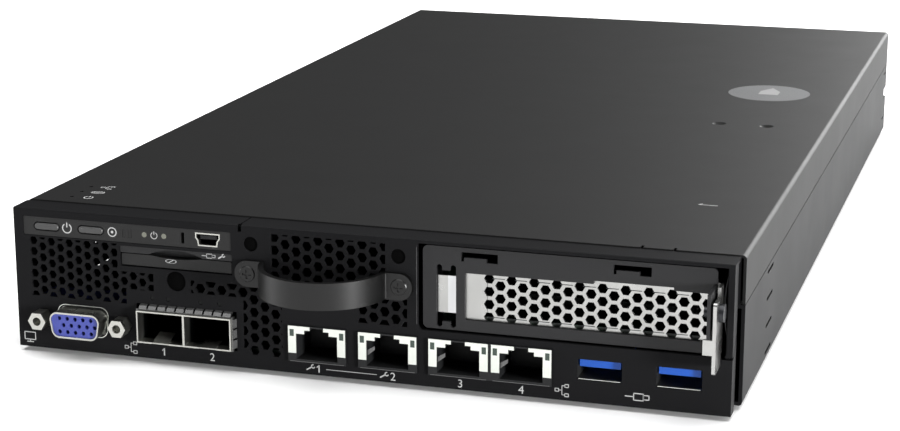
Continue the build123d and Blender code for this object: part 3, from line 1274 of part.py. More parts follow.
# System board: cut back round the sunk network jacks
BOARD_HOLES = [(x, y) for x in (LEFT + BOARD_HOLE_INSET, LIP_OUT - BOARD_HOLE_INSET) for y in BOARD_ROWS]
with BuildPart() as system_board:
    with BuildSketch(level_plane(BOARD_UNDER)):
        span(LEFT + BOARD_MARGIN, LIP_OUT - BOARD_MARGIN, BOARD_FRONT, BOARD_REAR, 1)
        jack_back = JACK_DEPTH - JACK_PROUD + FIT
        for place, width in (
            (JACK_1_X, JACK_WIDTH),
            (JACK_2_X, JACK_WIDTH),
            (JACK_PAIR_X, JACK_WIDTH + JACK_PAIR_PITCH),
        ):
            half = width / 2 + FIT
            span(place - half, place + half, 0, jack_back, mode=Mode.SUBTRACT)
        with Locations(*BOARD_HOLES):
            Circle(BOARD_HOLE, mode=Mode.SUBTRACT)
    extrude(amount=BOARD_THICK)
write(system_board.part, "system_board")

# Power board at the rear, beside the fans
POWER_X0 = FAN_PLACES[-1] + FAN_SIZE / 2 + POWER_MARGIN
POWER_X1 = LIP_IN - POWER_MARGIN
POWER_HOLES = [(x, POWER_HOLE_Y) for x in (POWER_X0 + BOARD_MARGIN, POWER_X1 - BOARD_MARGIN)]
with BuildPart() as power_board:
    with BuildSketch(level_plane(BOARD_UNDER)):
        span(POWER_X0, POWER_X1, BOARD_REAR + POWER_MARGIN, BODY_DEPTH - 2 * SHEET, 1)
        with Locations(*POWER_HOLES):
            Circle(BOARD_HOLE, mode=Mode.SUBTRACT)
    extrude(amount=BOARD_THICK)
write(power_board.part, "power_board")
with BuildPart() as board_standoffs:
    with BuildSketch(level_plane(SHEET)):
        with Locations(*(BOARD_HOLES + POWER_HOLES)):
            RegularPolygon(STANDOFF_RADIUS, 6)
            Circle(SCREW_SHANK, mode=Mode.SUBTRACT)
    extrude(amount=STANDOFF_HEIGHT)
write(board_standoffs.part, "board_standoffs")
with BuildPart() as board_screws:
    with BuildSketch(level_plane(BOARD_TOP)):
        with Locations(*(BOARD_HOLES + POWER_HOLES)):
            Circle(SCREW_RADIUS)
    extrude(amount=SCREW_HEAD)
    with BuildSketch(level_plane(BOARD_TOP)):
        with Locations(*(BOARD_HOLES + POWER_HOLES)):
            Circle(SCREW_SHANK)
    extrude(amount=BOARD_UNDER - STANDOFF_HEIGHT + FIT - BOARD_TOP)
write(board_screws.part, "board_screws")

# Processor and its finned cooler with four corner screws
COOLER_Z = BOARD_TOP + CHIP_THICK
DUCT_UNDER = COVER_UNDER - DUCT_DROP - DUCT_SHEET
CONTENT_TOP = DUCT_UNDER - RUNNING_GAP
COOLER_GRID = (COOLER_WIDTH - COOLER_LUG, COOLER_LENGTH - COOLER_LUG, 2, 2)
with BuildPart() as processor:
    with BuildSketch(level_plane(BOARD_TOP)):
        with Locations((COOLER_X, COOLER_Y)):
            Rectangle(CHIP_SIZE, CHIP_SIZE)
    extrude(amount=CHIP_THICK)
    chamfer(processor.edges().group_by(Axis.Z)[-1], CHIP_EDGE)
write(processor.part, "processor")
with BuildPart() as heatsink:
    with BuildSketch(level_plane(COOLER_Z)):
        with Locations((COOLER_X, COOLER_Y)):
            RectangleRounded(COOLER_WIDTH, COOLER_LENGTH, TRAY_BEND)
            with GridLocations(*COOLER_GRID):
                Circle(SCREW_SHANK + FIT, mode=Mode.SUBTRACT)
    extrude(amount=COOLER_BASE)
    with BuildSketch(level_plane(COOLER_Z + COOLER_BASE)):
        with Locations((COOLER_X, COOLER_Y)):
            with GridLocations((COOLER_WIDTH - 2 * COOLER_LUG) / (FIN_COUNT - 1), 1, FIN_COUNT, 1):
                Rectangle(FIN_THICK, COOLER_LENGTH)
    extrude(amount=CONTENT_TOP - COOLER_Z - COOLER_BASE)
write(heatsink.part, "heatsink")
with BuildPart() as heatsink_screws:
    with BuildSketch(level_plane(COOLER_Z + COOLER_BASE)):
        with Locations((COOLER_X, COOLER_Y)):
            with GridLocations(*COOLER_GRID):
                Circle(SCREW_RADIUS)
    extrude(amount=COOLER_SCREW_HEAD)
    with BuildSketch(level_plane(BOARD_TOP)):
        with Locations((COOLER_X, COOLER_Y)):
            with GridLocations(*COOLER_GRID):
                Circle(SCREW_SHANK)
    extrude(amount=CHIP_THICK + COOLER_BASE)
write(heatsink_screws.part, "heatsink_screws")

# Memory: sockets with a fixed end and a forked end, modules, and a swinging latch in each fork
MEMORY_PLACES = [COOLER_X + side * (MEMORY_OFFSET + shift) for side in (-1, 1) for shift in (0, MEMORY_PITCH)]
MODULE_Y0 = MEMORY_START + SOCKET_END
MODULE_Y1 = MODULE_Y0 + MODULE_LENGTH
MODULE_BASE = BOARD_TOP + MODULE_SEAT
PIVOT_Y = MODULE_Y1 + LATCH_FOOT + RUNNING_GAP
PIVOT_Z = BOARD_TOP + PIVOT_RISE
with BuildPart() as memory_sockets:
    half = SOCKET_WIDTH / 2
    with BuildSketch(level_plane(BOARD_TOP)):
        for place in MEMORY_PLACES:
            span(place - half, place + half, MEMORY_START, PIVOT_Y + LATCH_FOOT)
    extrude(amount=SOCKET_HEIGHT)
    with BuildSketch(level_plane(BOARD_TOP)):
        for place in MEMORY_PLACES:
            span(place - half, place + half, MEMORY_START, MODULE_Y0 + SOCKET_GUIDE)
    extrude(amount=SOCKET_HEIGHT + SOCKET_TOWER)
    half = MODULE_THICK / 2 + FIT
    with BuildSketch(level_plane(MODULE_BASE)):
        for place in MEMORY_PLACES:
            span(place - half, place + half, MODULE_Y0, MODULE_Y1 + FIT)
    extrude(amount=SOCKET_HEIGHT + SOCKET_TOWER, mode=Mode.SUBTRACT)
    half = LATCH_WIDTH / 2 + RUNNING_GAP
    reach = LATCH_FOOT + RUNNING_GAP
    with BuildSketch(level_plane(PIVOT_Z - reach)):
        for place in MEMORY_PLACES:
            span(place - half, place + half, PIVOT_Y - reach, PIVOT_Y + 2 * reach)
    extrude(amount=SOCKET_HEIGHT, mode=Mode.SUBTRACT)
    with BuildSketch(side_plane(LEFT)):
        with Locations((PIVOT_Y, PIVOT_Z)):
            Circle(LATCH_PIN + LATCH_PIN_GAP)
    extrude(amount=BODY_WIDTH, mode=Mode.SUBTRACT)
write(memory_sockets.part, "memory_sockets")
with BuildPart() as memory_modules:
    with BuildSketch(level_plane(MODULE_BASE)):
        for place in MEMORY_PLACES:
            span(place - MODULE_THICK / 2, place + MODULE_THICK / 2, MODULE_Y0, MODULE_Y1)
    extrude(amount=CONTENT_TOP - MODULE_BASE)
    for place in MEMORY_PLACES:
        with BuildSketch(side_plane(place - MODULE_THICK / 2 - MEMORY_CHIP)):
            with Locations(((MODULE_Y0 + MODULE_Y1) / 2, (BOARD_TOP + SOCKET_HEIGHT + CONTENT_TOP) / 2)):
                with GridLocations(MEMORY_CHIP_PITCH, 1, MEMORY_CHIP_COUNT, 1):
                    Rectangle(MEMORY_CHIP_WIDTH, MEMORY_CHIP_HEIGHT)
        extrude(amount=MODULE_THICK + 2 * MEMORY_CHIP)
write(memory_modules.part, "memory_modules")
for number, place in enumerate(MEMORY_PLACES, 1):
    with BuildPart() as memory_latch:
        with BuildSketch(side_plane(place - LATCH_WIDTH / 2)):
            with Locations((PIVOT_Y, PIVOT_Z)):
                Circle(LATCH_FOOT)
            top = PIVOT_Z + LATCH_HEIGHT
            span(PIVOT_Y - LATCH_STEM / 2, PIVOT_Y + LATCH_STEM / 2, PIVOT_Z, top)
            span(PIVOT_Y, PIVOT_Y + LATCH_LENGTH, top - LATCH_TAB, top)
        extrude(amount=LATCH_WIDTH)
        with BuildSketch(side_plane(place - SOCKET_WIDTH / 2)):
            with Locations((PIVOT_Y, PIVOT_Z)):
                Circle(LATCH_PIN)
        extrude(amount=SOCKET_WIDTH)
    write(memory_latch.part, f"memory_latch_{number}")

# Air duct: thin plastic hood over the cooler and the memory, standing on the board
with BuildPart() as air_duct:
    half = MEMORY_OFFSET + MEMORY_PITCH + SOCKET_WIDTH
    with BuildSketch(front_plane(DUCT_START)):
        span(COOLER_X - half, COOLER_X + half, BOARD_TOP, DUCT_UNDER + DUCT_SHEET)
        half = half - DUCT_SHEET
        span(COOLER_X - half, COOLER_X + half, 0, DUCT_UNDER, mode=Mode.SUBTRACT)
    extrude(amount=-DUCT_LENGTH)
write(air_duct.part, "air_duct")

# Rear panel: fan grilles and cut-outs for the two power inlets
REAR_Y = BODY_DEPTH - SHEET
INLET_Z = BOARD_TOP + INLET_RIM + INLET_SIZE / 2
INLETS = [(HALF_WIDTH - INLET_INSET + side * INLET_PITCH / 2, INLET_Z) for side in (-1, 1)]
with BuildSketch(front_plane(REAR_Y)) as grille_regions:
    with Locations(*[(place, FAN_Z) for place in FAN_PLACES]):
        Circle(FAN_SIZE / 2 - FAN_DUCT_WALL - FIELD_EDGE)
with BuildSketch(front_plane(REAR_Y)) as grilles:
    for place in FAN_PLACES:
        first_x = place - 3 * REAR_ROW_PITCH * sqrt(3) / 2
        hexagons(first_x, FAN_Z - 3.5 * REAR_ROW_PITCH, REAR_ROW_PITCH, REAR_FLATS, 7, 7)
    add(grille_regions.sketch_local, mode=Mode.INTERSECT)
with BuildPart() as rear_panel:
    with BuildSketch(front_plane(REAR_Y)):
        span(-LIP_IN, LIP_IN, SHEET, LIP_TOP)
        add(grilles.sketch_local, mode=Mode.SUBTRACT)
        with Locations(*INLETS):
            Rectangle(INLET_SIZE + 2 * FIT, INLET_SIZE + 2 * FIT, mode=Mode.SUBTRACT)
    extrude(amount=-SHEET)
    with BuildSketch(level_plane(SHEET)):
        span(POWER_X0, LIP_IN, REAR_Y - REAR_FLANGE, REAR_Y)
    extrude(amount=SHEET)
write(rear_panel.part, "rear_panel")
with BuildPart() as power_inlets:
    with BuildSketch(front_plane(REAR_Y)):
        with Locations(*INLETS):
            Rectangle(INLET_SIZE, INLET_SIZE)
    extrude(amount=-SHEET)
    with BuildSketch(front_plane(REAR_Y)):
        with Locations(*INLETS):
            Rectangle(INLET_SIZE + 2 * INLET_RIM, INLET_SIZE + 2 * INLET_RIM)
    extrude(amount=INLET_DEPTH)
    with BuildSketch(front_plane(BODY_DEPTH)):
        with Locations(*INLETS):
            with GridLocations(INLET_SOCKET_PITCH, INLET_SOCKET_PITCH, 2, 2):
                Rectangle(INLET_SOCKET, INLET_SOCKET)
    extrude(amount=INLET_SOCKET_DEPTH, mode=Mode.SUBTRACT)
write(power_inlets.part, "power_inlets")

# Fans: square frames with spokes and a bearing sleeve, and bladed rotors that run in them
FAN_CENTRES = [(place, FAN_Z) for place in FAN_PLACES]
FAN_Y1 = REAR_Y - FAN_GAP
FAN_Y0 = FAN_Y1 - FAN_DEPTH
DUCT_RADIUS = FAN_SIZE / 2 - FAN_DUCT_WALL
SPOKE_Y = FAN_Y1 - FAN_SPOKE_DEPTH
SLEEVE_Y = SPOKE_Y - FAN_SLEEVE_LENGTH
with BuildPart() as fan_frames:
    with BuildSketch(front_plane(FAN_Y0)):
        with Locations(*FAN_CENTRES):
            RectangleRounded(FAN_SIZE, FAN_SIZE, FAN_CORNER)
            Circle(DUCT_RADIUS, mode=Mode.SUBTRACT)
    extrude(amount=-FAN_DEPTH)
    with BuildSketch(front_plane(FAN_Y1)):
        with Locations(*FAN_CENTRES):
            Circle(FAN_HUB)
            Rectangle(2 * DUCT_RADIUS + FIT, FAN_SPOKE, rotation=45)
            Rectangle(2 * DUCT_RADIUS + FIT, FAN_SPOKE, rotation=-45)
    extrude(amount=FAN_SPOKE_DEPTH)
    with BuildSketch(front_plane(SPOKE_Y)):
        with Locations(*FAN_CENTRES):
            Circle(FAN_SLEEVE)
    extrude(amount=FAN_SLEEVE_LENGTH)
    with BuildSketch(front_plane(SLEEVE_Y)):
        with Locations(*FAN_CENTRES):
            Circle(FAN_SHAFT + FAN_BEARING_GAP)
    extrude(amount=-FAN_SLEEVE_LENGTH - FAN_SPOKE_DEPTH / 2, mode=Mode.SUBTRACT)
write(fan_frames.part, "fan_frames")


def fan_rotor(place, label):
    """One rotor: cambered blades trimmed to the duct, cup hub and shaft."""
    front = FAN_Y0 + FAN_ROTOR_SET
    back = SPOKE_Y - FAN_TIP_GAP
    centre = front_plane((front + back) / 2).from_local_coords(Vector(place, FAN_Z, 0))
    lean = radians(FAN_BLADE_LEAN)
    along = Vector(cos(lean), sin(lean)) * (FAN_CHORD / 2)
    across = Vector(-sin(lean), cos(lean))
    side = across * (FAN_BLADE_THICK / 2)
    crest = across * FAN_BLADE_CAMBER
    root = FAN_HUB - FAN_CUP_WALL / 2
    with BuildPart() as rotor:
        for index in range(FAN_BLADES):
            radial = Vector(0, 0, 1).rotate(Axis.Y, 360 / FAN_BLADES * index)
            with BuildSketch(Plane(origin=centre + radial * root, x_dir=(0, 1, 0), z_dir=radial)):
                with BuildLine():
                    outer = ThreePointArc(side - along, crest + side, along + side)
                    inner = ThreePointArc(along - side, crest - side, -along - side)
                    Line(outer @ 1, inner @ 0)
                    Line(inner @ 1, outer @ 0)
                make_face()
            extrude(amount=DUCT_RADIUS - root)
        with BuildSketch(front_plane(front)):
            with Locations((place, FAN_Z)):
                Circle(DUCT_RADIUS - FAN_TIP_GAP)
        extrude(amount=front - back, mode=Mode.INTERSECT)
        with BuildSketch(front_plane(front)):
            with Locations((place, FAN_Z)):
                Circle(FAN_HUB)
        extrude(amount=front - back)
        with BuildSketch(front_plane(front + FAN_CUP_WALL)):
            with Locations((place, FAN_Z)):
                Circle(FAN_HUB - FAN_CUP_WALL)
        extrude(amount=front + FAN_CUP_WALL - back, mode=Mode.SUBTRACT)
        with BuildSketch(front_plane(front)):
            with Locations((place, FAN_Z)):
                Circle(FAN_SHAFT)
        extrude(amount=front - SPOKE_Y)
    write(rotor.part, label)


for number, place in enumerate(FAN_PLACES, 1):
    fan_rotor(place, f"fan_{number}_rotor")

# Fan bracket: a tray under the three fans with a low lip in front
with BuildPart() as fan_bracket:
    with BuildSketch(side_plane(FAN_PLACES[0] - FAN_SIZE / 2)):
        span(FAN_Y0 - SHEET, FAN_Y1, SHEET, SHEET + FAN_SPACE / 2)
        span(FAN_Y0 - SHEET, FAN_Y0, SHEET, SHEET + FAN_LIP)
    extrude(amount=2 * FAN_PITCH + FAN_SIZE)
write(fan_bracket.part, "fan_bracket")
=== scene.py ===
"""Looks of a half-width edge server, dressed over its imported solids.

Sizes are in millimetres, measured from the middle of the front face's lower edge:
x to the right, y to the rear, z up. One transform turns them into metres at the end.
"""

import logging
import math
from dataclasses import dataclass
from enum import Enum
from typing import Any, Iterable, Sequence

import bmesh
import bpy
from mathutils import Matrix, Vector


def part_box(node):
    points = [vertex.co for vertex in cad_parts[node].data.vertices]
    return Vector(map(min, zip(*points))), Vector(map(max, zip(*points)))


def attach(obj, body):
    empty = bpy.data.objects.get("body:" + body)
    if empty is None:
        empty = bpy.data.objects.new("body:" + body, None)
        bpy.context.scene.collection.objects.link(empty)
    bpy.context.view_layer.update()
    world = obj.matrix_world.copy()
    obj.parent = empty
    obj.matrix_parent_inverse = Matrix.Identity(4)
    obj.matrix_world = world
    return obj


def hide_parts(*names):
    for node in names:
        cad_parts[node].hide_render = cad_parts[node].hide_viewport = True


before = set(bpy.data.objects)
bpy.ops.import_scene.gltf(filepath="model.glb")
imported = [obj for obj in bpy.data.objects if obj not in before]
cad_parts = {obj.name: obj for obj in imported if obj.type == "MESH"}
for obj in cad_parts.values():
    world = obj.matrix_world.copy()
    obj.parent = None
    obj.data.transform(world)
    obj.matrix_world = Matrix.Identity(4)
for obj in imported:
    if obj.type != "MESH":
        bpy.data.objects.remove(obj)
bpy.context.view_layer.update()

LOG = logging.getLogger("edge_server")
MM = 0.001
# Fewest steps round a ring, and the degrees that one step turns in a longer one.
RING_STEPS = 6
RING_TURN = 12
# Height of the built-in numerals as a share of their type size.
NUMERAL_SHARE = 0.7
Point = Sequence[float]
Tree = bpy.types.NodeTree
Node = bpy.types.Node
Socket = bpy.types.NodeSocket
# Noise seldom leaves this span, so patterns are mapped from it.
NOISE_SPAN = (0.3, 0.7)


def front_origin() -> Vector:
    """Middle of the front face's lower edge, from which every size here is measured.

    Returns:
        Its place in metres.
    """
    low_front = Vector(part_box("front_panel")[0])
    low_tray = Vector(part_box("chassis_tray")[0])
    return Vector((0.0, low_front.y, low_tray.z))


ORIGIN = front_origin()


def box_mm(node: str) -> tuple[Vector, Vector]:
    """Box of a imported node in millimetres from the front's origin.

    Args:
        node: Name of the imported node.

    Returns:
        Its lowest and its highest corner.
    """
    low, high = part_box(node)
    return (Vector(low) - ORIGIN) / MM, (Vector(high) - ORIGIN) / MM


def linear(colour: str) -> tuple[float, float, float, float]:
    """Turns an sRGB hex colour into linear values.

    Args:
        colour: Six hex digits after a hash.

    Returns:
        Red, green, blue and an alpha of 1.
    """
    channels = [int(colour[i:i + 2], 16) / 255 for i in (1, 3, 5)]
    lit = [c / 12.92 if c <= 0.04045 else ((c + 0.055) / 1.055) ** 2.4 for c in channels]
    return (lit[0], lit[1], lit[2], 1.0)


def add_node(
    tree: Tree,
    kind: str,
    values: dict[Any, Any] | None = None,
    links: dict[Any, Socket] | None = None,
    **settings: Any,
) -> Node:
    """Adds one shader node with its settings and links.

    Args:
        tree: Node tree of the material.
        kind: The node's type name.
        values: Default values by input name or number.
        links: Output sockets that feed the inputs, by input name or number.
        settings: Attributes of the node itself.

    Returns:
        The new node.
    """
    node = tree.nodes.new(kind)
    for name, value in settings.items():
        setattr(node, name, value)
    for socket, value in (values or {}).items():
        node.inputs[socket].default_value = value
    for socket, source in (links or {}).items():
        tree.links.new(source, node.inputs[socket])
    return node


@dataclass(frozen=True)
class Finish:
    """A finish: what the surface is made of and how it was made."""

    name: str
    colour: str
    roughness: float = 0.5
    metallic: float = 0.0

    def material(self) -> bpy.types.Material:
        """Makes the finish as a material, once.

        Returns:
            The new material, or the one that is there.
        """
        ready = bpy.data.materials.get(self.name)
        if ready:
            return ready
        made = bpy.data.materials.new(self.name)
        made.use_nodes = True
        made.diffuse_color = linear(self.colour)
        tree = made.node_tree
        shader = next(node for node in tree.nodes if node.type == "BSDF_PRINCIPLED")
        shader.inputs["Base Color"].default_value = linear(self.colour)
        shader.inputs["Roughness"].default_value = self.roughness
        shader.inputs["Metallic"].default_value = self.metallic
        place = add_node(tree, "ShaderNodeTexCoord").outputs["Object"]
        self.pattern(tree, shader, place)
        return made

    def pattern(self, tree: Tree, shader: Node, place: Socket) -> None:
        """Adds the surface's own pattern; the plain finish has none.

        Args:
            tree: Node tree of the material.
            shader: The principled shader.
            place: Object coordinates, in metres.
        """

    def grain(
        self,
        tree: Tree,
        shader: Node,
        place: Socket,
        size: float,
        height: float,
        strength: float = 1.0,
    ) -> Node:
        """Raises a fine grain by a bump.

        Args:
            tree: Node tree of the material.
            shader: The principled shader.
            place: Coordinates that the grain follows.
            size: Grain size in millimetres.
            height: Grain height in millimetres.
            strength: Share of the bump that shows.

        Returns:
            The noise node that makes the grain.
        """
        noise = add_node(
            tree,
            "ShaderNodeTexNoise",
            {"Scale": 1 / (size * MM), "Detail": 2.0},
            {"Vector": place},
        )
        bump = add_node(
            tree,
            "ShaderNodeBump",
            {"Distance": height * MM, "Strength": strength},
            {"Height": noise.outputs["Fac"]},
        )
        tree.links.new(bump.outputs["Normal"], shader.inputs["Normal"])
        return noise

    def vary(
        self,
        tree: Tree,
        socket: Socket,
        source: Socket,
        low: float,
        high: float,
    ) -> None:
        """Feeds a number socket from a pattern, between two values.

        Args:
            tree: Node tree of the material.
            socket: The shader's input.
            source: The pattern, from 0 to 1.
            low: Value where the pattern is low.
            high: Value where the pattern is high.
        """
        mapped = add_node(
            tree,
            "ShaderNodeMapRange",
            {"From Min": NOISE_SPAN[0], "From Max": NOISE_SPAN[1], "To Min": low, "To Max": high},
            {"Value": source},
        )
        tree.links.new(mapped.outputs["Result"], socket)

    def tint(
        self,
        tree: Tree,
        shader: Node,
        source: Socket,
        stops: Sequence[tuple[float, str]],
    ) -> None:
        """Colours the surface by a pattern.

        Args:
            tree: Node tree of the material.
            shader: The principled shader.
            source: The pattern, from 0 to 1.
            stops: Places on the ramp and their colours.
        """
        ramp = add_node(tree, "ShaderNodeValToRGB", links={"Fac": source})
        steps = ramp.color_ramp.elements
        while len(steps) < len(stops):
            steps.new(0.5)
        for step, (place, colour) in zip(steps, stops):
            step.position = place
            step.color = linear(colour)
        tree.links.new(ramp.outputs["Color"], shader.inputs["Base Color"])


@dataclass(frozen=True)
class PowderCoat(Finish):
    """Baked polyester powder on steel: satin, with a fine orange peel and faint cloudiness."""

    peel: float = 0.7
    depth: float = 0.004
    # 45 clouds to the metre.
    cloud: float = 1000 / 45
    drift: float = 0.012
    index: float = 1.3

    def pattern(self, tree: Tree, shader: Node, place: Socket) -> None:
        """Orange peel at its real size, and roughness that drifts over the sheet.

        Args:
            tree: Node tree of the material.
            shader: The principled shader.
            place: Object coordinates, in metres.
        """
        self.grain(tree, shader, place, self.peel, self.depth)
        cloud = add_node(
            tree,
            "ShaderNodeTexNoise",
            {"Scale": 1 / (self.cloud * MM), "Detail": 3.0},
            {"Vector": place},
        )
        low, high = self.roughness - self.drift, self.roughness + self.drift
        self.vary(tree, shader.inputs["Roughness"], cloud.outputs["Fac"], low, high)
        if not self.metallic:
            shader.inputs["IOR"].default_value = self.index


@dataclass(frozen=True)
class MouldedPlastic(Finish):
    """Injection-moulded plastic with a spark-eroded texture that breaks up the gloss."""

    texture: float = 0.25
    depth: float = 0.008
    drift: float = 0.06
    sheen: float = 0.3

    def pattern(self, tree: Tree, shader: Node, place: Socket) -> None:
        """Spark-erosion grain, drawn a little coarse so that it shows.

        Args:
            tree: Node tree of the material.
            shader: The principled shader.
            place: Object coordinates, in metres.
        """
        shader.inputs["Specular IOR Level"].default_value = self.sheen
        noise = self.grain(tree, shader, place, self.texture, self.depth)
        low, high = self.roughness - self.drift, self.roughness + self.drift
        self.vary(tree, shader.inputs["Roughness"], noise.outputs["Fac"], low, high)


@dataclass(frozen=True)
class PlatedSteel(Finish):
    """Nickel or zinc plated sheet: bright, with rolling marks and soft handling blotches."""

    marks: float = 0.12
    marks_height: float = 0.002
    marks_strength: float = 0.6
    squeeze: float = 0.06
    blotch: float = 6.25
    polished: float = 0.05
    handled: float = 0.06

    def pattern(self, tree: Tree, shader: Node, place: Socket) -> None:
        """Rolling marks stretched along x, and blotches in the roughness.

        Args:
            tree: Node tree of the material.
            shader: The principled shader.
            place: Object coordinates, in metres.
        """
        rolled = add_node(
            tree, "ShaderNodeMapping", {"Scale": (self.squeeze, 1.0, 1.0)}, {"Vector": place}
        )
        along = rolled.outputs["Vector"]
        self.grain(tree, shader, along, self.marks, self.marks_height, self.marks_strength)
        blotch = add_node(
            tree,
            "ShaderNodeTexNoise",
            {"Scale": 1 / (self.blotch * MM), "Detail": 2.0},
            {"Vector": place},
        )
        low, high = self.roughness - self.polished, self.roughness + self.handled
        self.vary(tree, shader.inputs["Roughness"], blotch.outputs["Fac"], low, high)


@dataclass(frozen=True)
class PaintedDepthShade(PlatedSteel):
    """Plated shell of a socket: bright at its mouth, with painted shade that darkens it further
    in.
    """

    mouth: float = 0.5
    deep: float = 2.0
    # Colour of the painted shade deep in the socket.
    shade: str = "#26272a"

    def pattern(self, tree: Tree, shader: Node, place: Socket) -> None:
        """Rolling marks, and painted shade that darkens the colour behind the mouth.

        Args:
            tree: Node tree of the material.
            shader: The principled shader.
            place: Object coordinates, in metres.
        """
        super().pattern(tree, shader, place)
        parts = add_node(tree, "ShaderNodeSeparateXYZ", links={"Vector": place})
        depth = add_node(
            tree,
            "ShaderNodeMapRange",
            {"From Min": ORIGIN.y + self.mouth * MM, "From Max": ORIGIN.y + self.deep * MM},
            {"Value": parts.outputs["Y"]},
        )
        self.tint(tree, shader, depth.outputs["Result"], ((0.0, self.colour), (1.0, self.shade)))


@dataclass(frozen=True)
class SolderMask(Finish):
    """Glass-epoxy board under green solder mask, with copper runs that show as paler lines."""

    run: float = 1.4
    # Tones darkened nearly to black: painted shade for the inside of the box.
    tones: tuple[tuple[float, str], ...] = ((0.0, "#0a1f13"), (0.32, "#08180f"), (0.36, "#05100a"))

    def pattern(self, tree: Tree, shader: Node, place: Socket) -> None:
        """Copper runs as squared cells in two tones of green.

        Args:
            tree: Node tree of the material.
            shader: The principled shader.
            place: Object coordinates, in metres.
        """
        cells = add_node(
            tree,
            "ShaderNodeTexVoronoi",
            {"Scale": 1 / (self.run * 2 * MM)},
            {"Vector": place},
            distance="CHEBYCHEV",
            feature="F1",
        )
        self.tint(tree, shader, cells.outputs["Distance"], self.tones)


@dataclass(frozen=True)
class Elastomer(Finish):
    """Moulded silicone rubber: matt, with a dusty bloom."""

    bloom: float = 0.35
    depth: float = 0.01
    sheen: float = 0.15

    def pattern(self, tree: Tree, shader: Node, place: Socket) -> None:
        """A soft grain of a third of a millimetre.

        Args:
            tree: Node tree of the material.
            shader: The principled shader.
            place: Object coordinates, in metres.
        """
        self.grain(tree, shader, place, self.bloom, self.depth)
        shader.inputs["Specular IOR Level"].default_value = self.sheen


class Wear(Enum):
    """The finishes of this object."""

    # Near black, with hardly any sheen face on and a grey one along the sides.
    COAT = PowderCoat("polyester_powder_coat_black", "#151516", 0.42, index=1.1)
    # A shade lighter and duller, so that the top greys evenly towards the rear.
    COVER = PowderCoat("polyester_powder_coat_cover", "#1a1a1a", 0.5, index=1.15)
    # Smoother coat: the bent band shows two soft upright highlights.
    BAND = PowderCoat("polyester_powder_coat_handle", "#060606", 0.34, index=1.38)
    # The recessed plate reads a step lighter than the front round it.
    BAY = PowderCoat("polyester_powder_coat_bay", "#1e1e1f", 0.42, index=1.3)
    # Dull black, for what should stay unseen behind the holes.
    ABS = MouldedPlastic("abs_black", "#121213", 0.5)
    # Dark grey with a dry moulded look, beside the blacker steel.
    STRIP = MouldedPlastic("abs_dark_grey", "#1c1c1c", 0.45, sheen=0.2)
    # Mid grey keys that stand out of their strip.
    KEY = MouldedPlastic("abs_mid_grey", "#3a3a3a", 0.42)
    # A flat grey disc, paler than the cover round it.
    PAD = MouldedPlastic("pc_abs_pad_grey", "#424344", 0.55)
    # Black nylon that swallows the light inside the sockets.
    GUIDE = MouldedPlastic("nylon_black", "#101112", 0.55)
    # Blackest of all, with hardly any sheen: the plugs read as dark rounds.
    SILICONE = Elastomer("silicone_rubber_black", "#030303", 0.85, sheen=0.03)
    # Warm bright metal with a soft edge to its highlights.
    NICKEL = PlatedSteel("nickel_plated_steel", "#b4b4ae", 0.3, 1.0)
    # A bright line round each socket; painted shade darkens it further in.
    MOUTH_PAINTED_SHADE = PaintedDepthShade("nickel_plated_socket_shell_painted_shade", "#b4b4ae", 0.3, 1.0)
    # Pale grey sheet, bright but not mirror-like.
    ZINC = PlatedSteel("zinc_plated_sheet", "#a8a8a6", 0.3, 1.0)
    # Dull grey strip, darker than the plating beside it; also the grey of painted highlights on
    # black edges and of painted shade in the serial-bus shells.
    SPRING_AND_PAINTED_LIGHT = PlatedSteel("spring_steel_strip_and_painted_light", "#6e6e6e", 0.4, 1.0)
    # Small warm glints.
    GOLD = PlatedSteel("gold_plated_bronze", "#d9a84e", 0.28, 1.0)
    # Yellow turned metal.
    BRASS = PlatedSteel("turned_brass", "#c9a050", 0.3, 1.0)
    # White metal with long soft highlights; also the paler metal of the painted highlight on the
    # bracket's tongue.
    ALUMINIUM_AND_PAINTED_HIGHLIGHT = PlatedSteel("extruded_aluminium_and_painted_highlight", "#c8c9ca", 0.38, 1.0)
    # Oxide black with a faint metallic edge; also the dark of the painted shade in the bracket's
    # stamped border.
    SCREW_AND_PAINTED_SHADE = PowderCoat("black_oxide_steel_and_painted_shade", "#26272a", 0.35, 0.6)
    # Almost white, and even: the jacks' corners are the brightest spots of the front. Also the
    # colour of painted highlights round the video port and on the serial-bus shells' lower edges.
    TIN_AND_PAINTED_HIGHLIGHT = PlatedSteel("tin_plated_steel_and_painted_highlight", "#dfe2db", 0.42, 1.0)
    # Blue-violet thermoplastic, matt.
    VIDEO = MouldedPlastic("pbt_blue_violet", "#3c448c", 0.4)
    # Strong blue that shows in the dark sockets.
    TONGUE = MouldedPlastic("pbt_bright_blue", "#1048a0", 0.35)
    # Unlit light pipes, a pale dull olive.
    LIGHT = MouldedPlastic("polycarbonate_pale", "#62635a", 0.25)
    # Grey-green windows, unlit.
    LAMP = MouldedPlastic("polycarbonate_grey_green", "#36403a", 0.25)
    # Smoked windows that hardly show.
    DARK_LAMP = Elastomer("polycarbonate_smoke", "#0c0d0d", 0.5)
    # Green boards darkened nearly to black as painted shade for the closed inside of the box, seen
    # only as a tint behind the holes.
    MASK_AND_PAINTED_SHADE = SolderMask("glass_epoxy_green_and_painted_shade", "#06110a", 0.4)
    # Dark ivory latches.
    IVORY = MouldedPlastic("lcp_dark_ivory", "#5a574c", 0.5)
    # Soft white print, a little grey as thin ink on black is.
    INK = Finish("screen_ink_white", "#a2a2a2", 0.6)
    # The same print on the paler pad.
    DIM_INK = Finish("screen_ink_grey", "#6e6e6e", 0.6)


